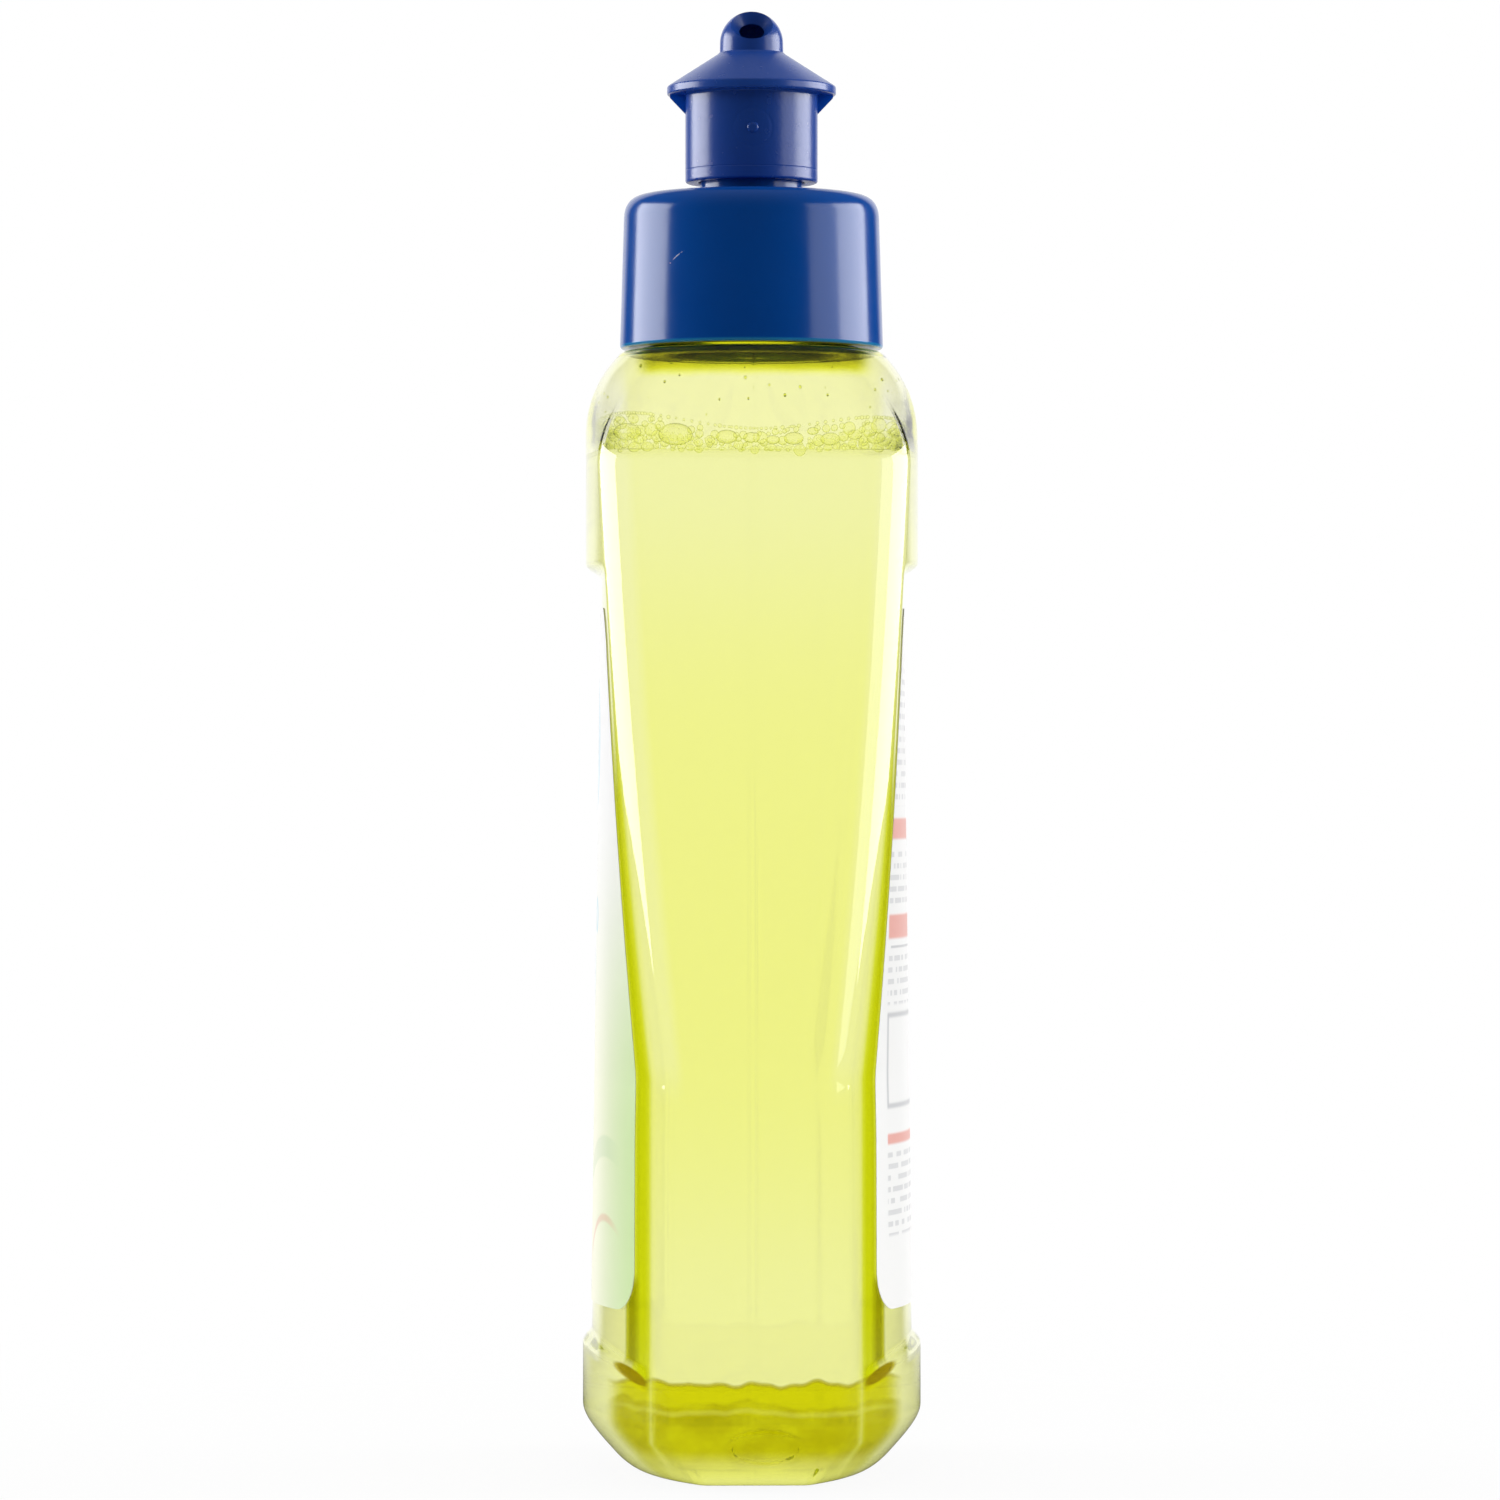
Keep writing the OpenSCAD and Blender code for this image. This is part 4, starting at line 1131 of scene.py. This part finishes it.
def capBlue():
    material, tree, shader, output = newMaterial("cap_blue")
    x, y, z, place = placeIn(tree)
    p = capPaint
    paint = mixColour(tree, noise(tree, place, 70, 3), p["blue"], p["cloud"])
    # painted highlight: a brighter cyan band round the lower rim of the skirt
    rim = ease(tree, z, capRimZ + p["rimGlintFrom"], capRimZ + p["rimGlintTo"])
    paint = mixColour(tree, times(tree, rim, p["rimShare"]), paint, p["rim"])
    ry, rz = calc(tree, "SUBTRACT", y, p["y"]), calc(tree, "SUBTRACT", z, p["z"])
    run = calc(tree, "ADD", times(tree, ry, p["dy"]), times(tree, rz, p["dz"]))
    held = tree.nodes.new("ShaderNodeClamp")
    feed(tree, calc(tree, "DIVIDE", run, p["dy"] ** 2 + p["dz"] ** 2), held.inputs["Value"])
    held.inputs["Min"].default_value = -1
    t = held.outputs[0]
    offY = calc(tree, "SUBTRACT", ry, times(tree, t, p["dy"]))
    offZ = calc(tree, "SUBTRACT", rz, times(tree, t, p["dz"]))
    offZ = calc(tree, "SUBTRACT", offZ, times(tree, t, t, p["bow"]))
    worn = mask(tree, (span(tree, offY, offZ), p["wide"], 0.02), (noise(tree, place, 2500, 1), 0.3, 0.6))
    paint = mixColour(tree, times(tree, worn, calc(tree, "GREATER_THAN", x, 0.0)), paint, p["scuff"])
    feed(tree, paint, shader.inputs["Base Color"])
    rubbed = calc(tree, "MULTIPLY_ADD", noise(tree, place, 260, 4), p["rub"], p["rough"])
    feed(tree, rubbed, shader.inputs["Roughness"])
    feed(tree, bump(tree, noise(tree, place, 45, 2), 0.12, 0.0006), shader.inputs["Normal"])
    return material


capMaterial = capBlue()
cap = makeCap()
capThread = makeCapThread()
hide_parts("closure")
for piece in (cap, capThread):
    piece.data.materials.append(capMaterial)
    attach(piece, "cap")


# sealing wad between the mouth and the cap

def makeWad():
    hole, rim, soft = capForm["wadHole"] / 2, capForm["wadD"] / 2, capForm["wadSoft"]
    corners = [(hole, mouthZ, soft), (rim, mouthZ, soft), (rim, ceilingZ, soft), (hole, ceilingZ, soft)]
    piece = addMesh("sealing_wad", *latheLoop(filleted(corners, 4), 96))
    weld(piece)
    smoothShade(piece, 35)
    return piece


def wadFoam():
    material, tree, shader, output = newMaterial("wad_foam")
    x, y, z, place = placeIn(tree)
    voronoi = tree.nodes.new("ShaderNodeTexVoronoi")
    voronoi.inputs["Scale"].default_value = 2600
    tree.links.new(place, voronoi.inputs["Vector"])
    cells = voronoi.outputs["Distance"]
    feed(tree, mixColour(tree, cells, (0.82, 0.82, 0.8), (0.92, 0.92, 0.9)), shader.inputs["Base Color"])
    shader.inputs["Roughness"].default_value = 0.8
    feed(tree, bump(tree, cells, 0.4, 0.0002), shader.inputs["Normal"])
    return material


wad = makeWad()
wad.data.materials.append(wadFoam())
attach(wad, "seal")
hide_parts("seal_wad")
print("cap, thread and wad made")


# push-pull spout

hatZ = throatZ + spoutForm["plate"]
coneZ = hatZ + spoutForm["rimH"]
coneTopZ = coneZ + spoutForm["coneH"]
domeZ = coneTopZ + spoutForm["domeRise"]


def makeSpout():
    s = spoutForm
    sleeve, bore, hat, dome = s["sleeveD"] / 2, s["boreD"] / 2, s["hatD"] / 2, s["domeD"] / 2
    lip, lipZ = capForm["turretD"] / 2 + s["slide"], sleeveZ + s["lipH"]
    chamber, throat, soft = s["chamberD"] / 2, s["throatD"] / 2, s["inSoft"]
    chamberZ = throatZ + s["throatL"]
    corners = [
        (lip, sleeveZ, 0.2), (sleeve, sleeveZ, 0.35), (sleeve, hatZ, 0.35), (hat, hatZ, 0.25),
        (hat, coneZ, 0.35), (s["coneTopD"] / 2, coneTopZ, 0.5), (dome, coneTopZ + 0.35, 0.2)]
    loop = filleted(corners, 6) + arc(0, domeZ, dome, 0, 90, 20)[:-1] + [(0, domeZ + dome)]
    loop += [(0, domeZ + chamber)] + arc(0, domeZ, chamber, 90, 0, 10)[1:]
    loop += [(chamber, chamberZ), (throat, chamberZ - soft)]
    loop += [(throat, throatZ + soft), (throat + soft, throatZ)]
    loop += [(bore - soft, throatZ), (bore, throatZ - soft), (bore, lipZ), (lip, lipZ - soft)]
    piece = addMesh("push_spout", *latheLoop(loop, s["segments"]))
    weld(piece)
    rim, hole = s["outletRimD"] / 2, s["outletD"] / 2
    rimAt, past = math.sqrt(dome ** 2 - rim ** 2), dome + 2
    cutter = [(0, 0), (hole, 0), (hole, rimAt - (rim - hole)), (rim, rimAt), (rim + 0.25, rimAt + 0.45)]
    cutter += [(rim + 0.4, past), (0, past)]
    tool = addMesh("outlet_cutter", *latheLoop(cutter, 72))
    weld(tool)
    lean = Matrix.Rotation(math.radians(90 - s["lean"]), 4, "Y")
    tool.data.transform(Matrix.Translation((0, 0, domeZ * milli)) @ lean)
    cut = piece.modifiers.new("outlet", "BOOLEAN")
    cut.object = tool
    cut.solver = "EXACT"
    graph = bpy.context.evaluated_depsgraph_get()
    done = bpy.data.meshes.new_from_object(piece.evaluated_get(graph))
    piece.modifiers.clear()
    piece.data = done
    bpy.data.objects.remove(tool)
    smoothShade(piece, 32)
    return piece


def makeWebs():
    s = spoutForm
    sleeve, half, sunk = s["sleeveD"] / 2, s["webT"] / 2, s["sleeveD"] / 2 - 0.4
    tip, footZ = s["hatD"] / 2 - 0.35, hatZ - s["webDrop"]
    outline = [(sunk, hatZ + 0.3), (tip, hatZ + 0.3), (tip, hatZ - 0.3), (sleeve, footZ), (sunk, footZ)]
    count, shapes = len(outline), []
    for side in (-1, 1):
        points = [(x, side * r, z) for x in (-half, half) for r, z in outline]
        faces = [tuple(range(count)), tuple(range(2 * count - 1, count - 1, -1))]
        faces += [(i, count + i, count + (i + 1) % count, (i + 1) % count) for i in range(count)]
        shapes.append((points, faces))
    piece = addMesh("hat_webs", *joinShapes(shapes))
    weld(piece)
    soften = piece.modifiers.new("soft edges", "BEVEL")
    soften.width = 0.12 * milli
    soften.segments = 3
    smoothShade(piece, 35)
    return piece


gateForm = {"z": 171.3, "r": 0.72, "height": 0.22, "haloR": 2.45}


def makeGate():
    # stub left where the spout was filled in its mould
    r, height = gateForm["r"], gateForm["height"]
    profile = [(0, -0.3), (r * 1.15, -0.3), (r, 0.02)]
    profile += [(r * 0.8, height * 0.8), (r * 0.45, height), (0, height * 0.7)]
    piece = addMesh("spout_gate", *latheLoop(profile, 28))
    weld(piece)
    turn = Matrix.Rotation(math.radians(90), 4, "Y")
    move = Matrix.Translation((spoutForm["sleeveD"] / 2 * milli, 0, gateForm["z"] * milli))
    piece.data.transform(move @ turn)
    smoothShade(piece, 50)
    return piece


spoutPaint = {
    "navy": (0.009, 0.065, 0.37), "cloud": (0.014, 0.08, 0.43), "rough": 0.22, "grain": 0.08, "grooveZ": 1.6,
    "web": (0.01, 0.05, 0.25), "webCloud": (0.015, 0.06, 0.3), "glow": (0.01, 0.3, 0.75), "glowShare": 0.6,
}


def spoutBlue():
    material, tree, shader, output = newMaterial("spout_blue")
    x, y, z, place = placeIn(tree)
    p = spoutPaint
    paint = mixColour(tree, noise(tree, place, 120, 3), p["navy"], p["cloud"])
    feed(tree, paint, shader.inputs["Base Color"])
    shader.inputs["Specular IOR Level"].default_value = 0.7
    satin = calc(tree, "MULTIPLY_ADD", noise(tree, place, 700, 3), p["grain"], p["rough"])
    feed(tree, satin, shader.inputs["Roughness"])
    # rings round the gate and a shallow line above the foot of the sleeve
    away = span(tree, y, calc(tree, "SUBTRACT", z, gateForm["z"]))
    halo = ease(tree, apart(tree, away, gateForm["haloR"]), 0.35, 0.0)
    halo = times(tree, halo, calc(tree, "GREATER_THAN", x, 0.0), 0.5)
    groove = ease(tree, apart(tree, z, sleeveZ + p["grooveZ"]), 0.12, 0.0)
    grain = times(tree, noise(tree, place, 1800, 2), 0.35)
    height = calc(tree, "SUBTRACT", grain, calc(tree, "ADD", halo, groove))
    feed(tree, bump(tree, height, 0.5, 0.00006), shader.inputs["Normal"])
    return material


def webBlue():
    # thin webs let some of the light behind them through
    material, tree, shader, output = newMaterial("web_blue")
    x, y, z, place = placeIn(tree)
    p = spoutPaint
    paint = mixColour(tree, noise(tree, place, 300, 2), p["web"], p["webCloud"])
    feed(tree, paint, shader.inputs["Base Color"])
    shader.inputs["Roughness"].default_value = 0.4
    glow = tree.nodes.new("ShaderNodeBsdfTranslucent")
    glow.inputs["Color"].default_value = (*p["glow"], 1)
    blend = blendShaders(tree, p["glowShare"], shader.outputs[0], glow.outputs[0])
    tree.links.new(blend, output.inputs["Surface"])
    return material


spout = makeSpout()
webs = makeWebs()
gate = makeGate()
spoutMaterial = spoutBlue()
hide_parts("spout")
for piece, material in ((spout, spoutMaterial), (webs, webBlue()), (gate, spoutMaterial)):
    piece.data.materials.append(material)
    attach(piece, "spout")
print("spout made:", len(spout.data.polygons), "faces")


# studio: white to look at, dark in front to what is glossy, with a pale floor and three soft boxes

studio = {
    "ambient": 0.3, "above": 0.5, "dimAhead": -0.8, "front": 0.01, "behind": 1.0, "top": 0.24,
    "edge": (0.86, 0.95), "edgeTilt": 0.35,
    "floorR": 0.3, "floorZ": -0.05, "floorWhite": 0.93,
    "pale": (0.92, 0.92, 0.92), "mirrored": (0.06, 0.06, 0.06), "aimZ": 0.13,
}
# soft boxes: bearing from +X towards +Y in degrees, distance, height, width, height of the box, level
softBoxes = {
    "left_softbox": (-104.5, 0.9, 0.312, 0.76, 0.456, 6.3),
    "right_softbox": (102, 0.9, 0.312, 0.66, 0.456, 5.9),
    "right_fill": (67, 0.95, 0.32, 0.52, 0.44, 1.9),
}
viewForm = {
    "distance": 0.85, "bearing": -1.2, "height": 0.08695, "lens": 158.76, "sensor": 36,
    "shiftX": -0.001, "shiftY": 0.0267,
}


def makeWorld():
    world = bpy.data.worlds.new("studio")
    scene.world = world
    world.use_nodes = True
    tree = world.node_tree
    tree.nodes.clear()
    output = tree.nodes.new("ShaderNodeOutputWorld")
    rays = tree.nodes.new("ShaderNodeLightPath").outputs
    coords = tree.nodes.new("ShaderNodeTexCoord")
    split = tree.nodes.new("ShaderNodeSeparateXYZ")
    tree.links.new(coords.outputs["Generated"], split.inputs[0])
    s, forward = studio, split.outputs[0]
    up = calc(tree, "MAXIMUM", split.outputs[2], 0.0)
    back = calc(tree, "MULTIPLY_ADD", up, s["edgeTilt"], times(tree, forward, -1.0))
    mirrored = calc(tree, "MULTIPLY_ADD", ease(tree, back, *s["edge"]), s["behind"] - s["front"], s["front"])
    mirrored = calc(tree, "MAXIMUM", mirrored, times(tree, up, up, s["top"]))
    ahead = calc(tree, "MULTIPLY_ADD", calc(tree, "MAXIMUM", forward, 0.0), s["dimAhead"], 1.0)
    fromAbove = calc(tree, "MULTIPLY_ADD", up, s["above"], times(tree, ahead, s["ambient"]))
    plain = times(tree, calc(tree, "SUBTRACT", 1.0, rays["Is Glossy Ray"]), fromAbove)
    lit = calc(tree, "ADD", times(tree, rays["Is Glossy Ray"], mirrored), plain)
    seen = calc(tree, "MAXIMUM", rays["Is Camera Ray"], rays["Is Transmission Ray"])
    background = tree.nodes.new("ShaderNodeBackground")
    background.inputs["Color"].default_value = (1, 1, 1, 1)
    tree.links.new(calc(tree, "MAXIMUM", seen, lit), background.inputs["Strength"])
    tree.links.new(background.outputs[0], output.inputs["Surface"])


def makeFloor():
    s, count, radius = studio, 96, studio["floorR"] / milli
    turns = [2 * math.pi * i / count for i in range(count)]
    points = [(0, 0, s["floorZ"])]
    points += [(radius * math.cos(t), radius * math.sin(t), s["floorZ"]) for t in turns]
    floor = addMesh("pale_floor", points, [(0, 1 + i, 1 + (i + 1) % count) for i in range(count)])
    material, tree, shader, output = newMaterial("pale_floor")
    shader.inputs["Roughness"].default_value = 0.9
    x, y, z, place = placeIn(tree)
    rays = tree.nodes.new("ShaderNodeLightPath").outputs
    # white to look at, also through the bottle, and dark in the gloss of its outside
    deep = calc(tree, "GREATER_THAN", rays["Transmission Depth"], 0.5)
    seen = calc(tree, "MAXIMUM", rays["Is Camera Ray"], rays["Is Transmission Ray"])
    seen = calc(tree, "MAXIMUM", seen, times(tree, rays["Is Glossy Ray"], deep))
    outer = times(tree, rays["Is Glossy Ray"], calc(tree, "SUBTRACT", 1.0, deep))
    feed(tree, mixColour(tree, outer, s["pale"], s["mirrored"]), shader.inputs["Base Color"])
    white = tree.nodes.new("ShaderNodeEmission")
    clear = tree.nodes.new("ShaderNodeBsdfTransparent")
    lit = blendShaders(tree, times(tree, seen, s["floorWhite"]), shader.outputs[0], white.outputs[0])
    fade = ease(tree, span(tree, x, y), radius * 0.25, radius * 0.98)
    tree.links.new(blendShaders(tree, fade, lit, clear.outputs[0]), output.inputs["Surface"])
    floor.data.materials.append(material)


def placeAround(thing, bearing, distance, height):
    scene.collection.objects.link(thing)
    t = math.radians(bearing)
    thing.location = (distance * math.cos(t), distance * math.sin(t), height)


def makeSoftBox(name, bearing, distance, height, wide, tall, level):
    light = bpy.data.lights.new(name, "AREA")
    light.shape = "RECTANGLE"
    light.size, light.size_y = wide, tall
    light.energy = level * math.pi * wide * tall
    lamp = bpy.data.objects.new(name, light)
    placeAround(lamp, bearing, distance, height)
    aim = Vector((0, 0, studio["aimZ"])) - lamp.location
    lamp.rotation_euler = aim.to_track_quat("-Z", "Y").to_euler()
    lamp.visible_camera = False
    lamp.visible_transmission = False


def makeCamera():
    v = viewForm
    camera = bpy.data.objects.new("camera", bpy.data.cameras.new("camera"))
    placeAround(camera, v["bearing"], v["distance"], v["height"])
    camera.rotation_euler = (math.radians(90), 0, math.radians(90 + v["bearing"]))
    camera.data.sensor_width = v["sensor"]
    camera.data.lens = v["lens"]
    camera.data.shift_x, camera.data.shift_y = v["shiftX"], v["shiftY"]
    scene.camera = camera


makeWorld()
makeFloor()
for name, box in softBoxes.items():
    makeSoftBox(name, *box)
makeCamera()
print("studio lit")
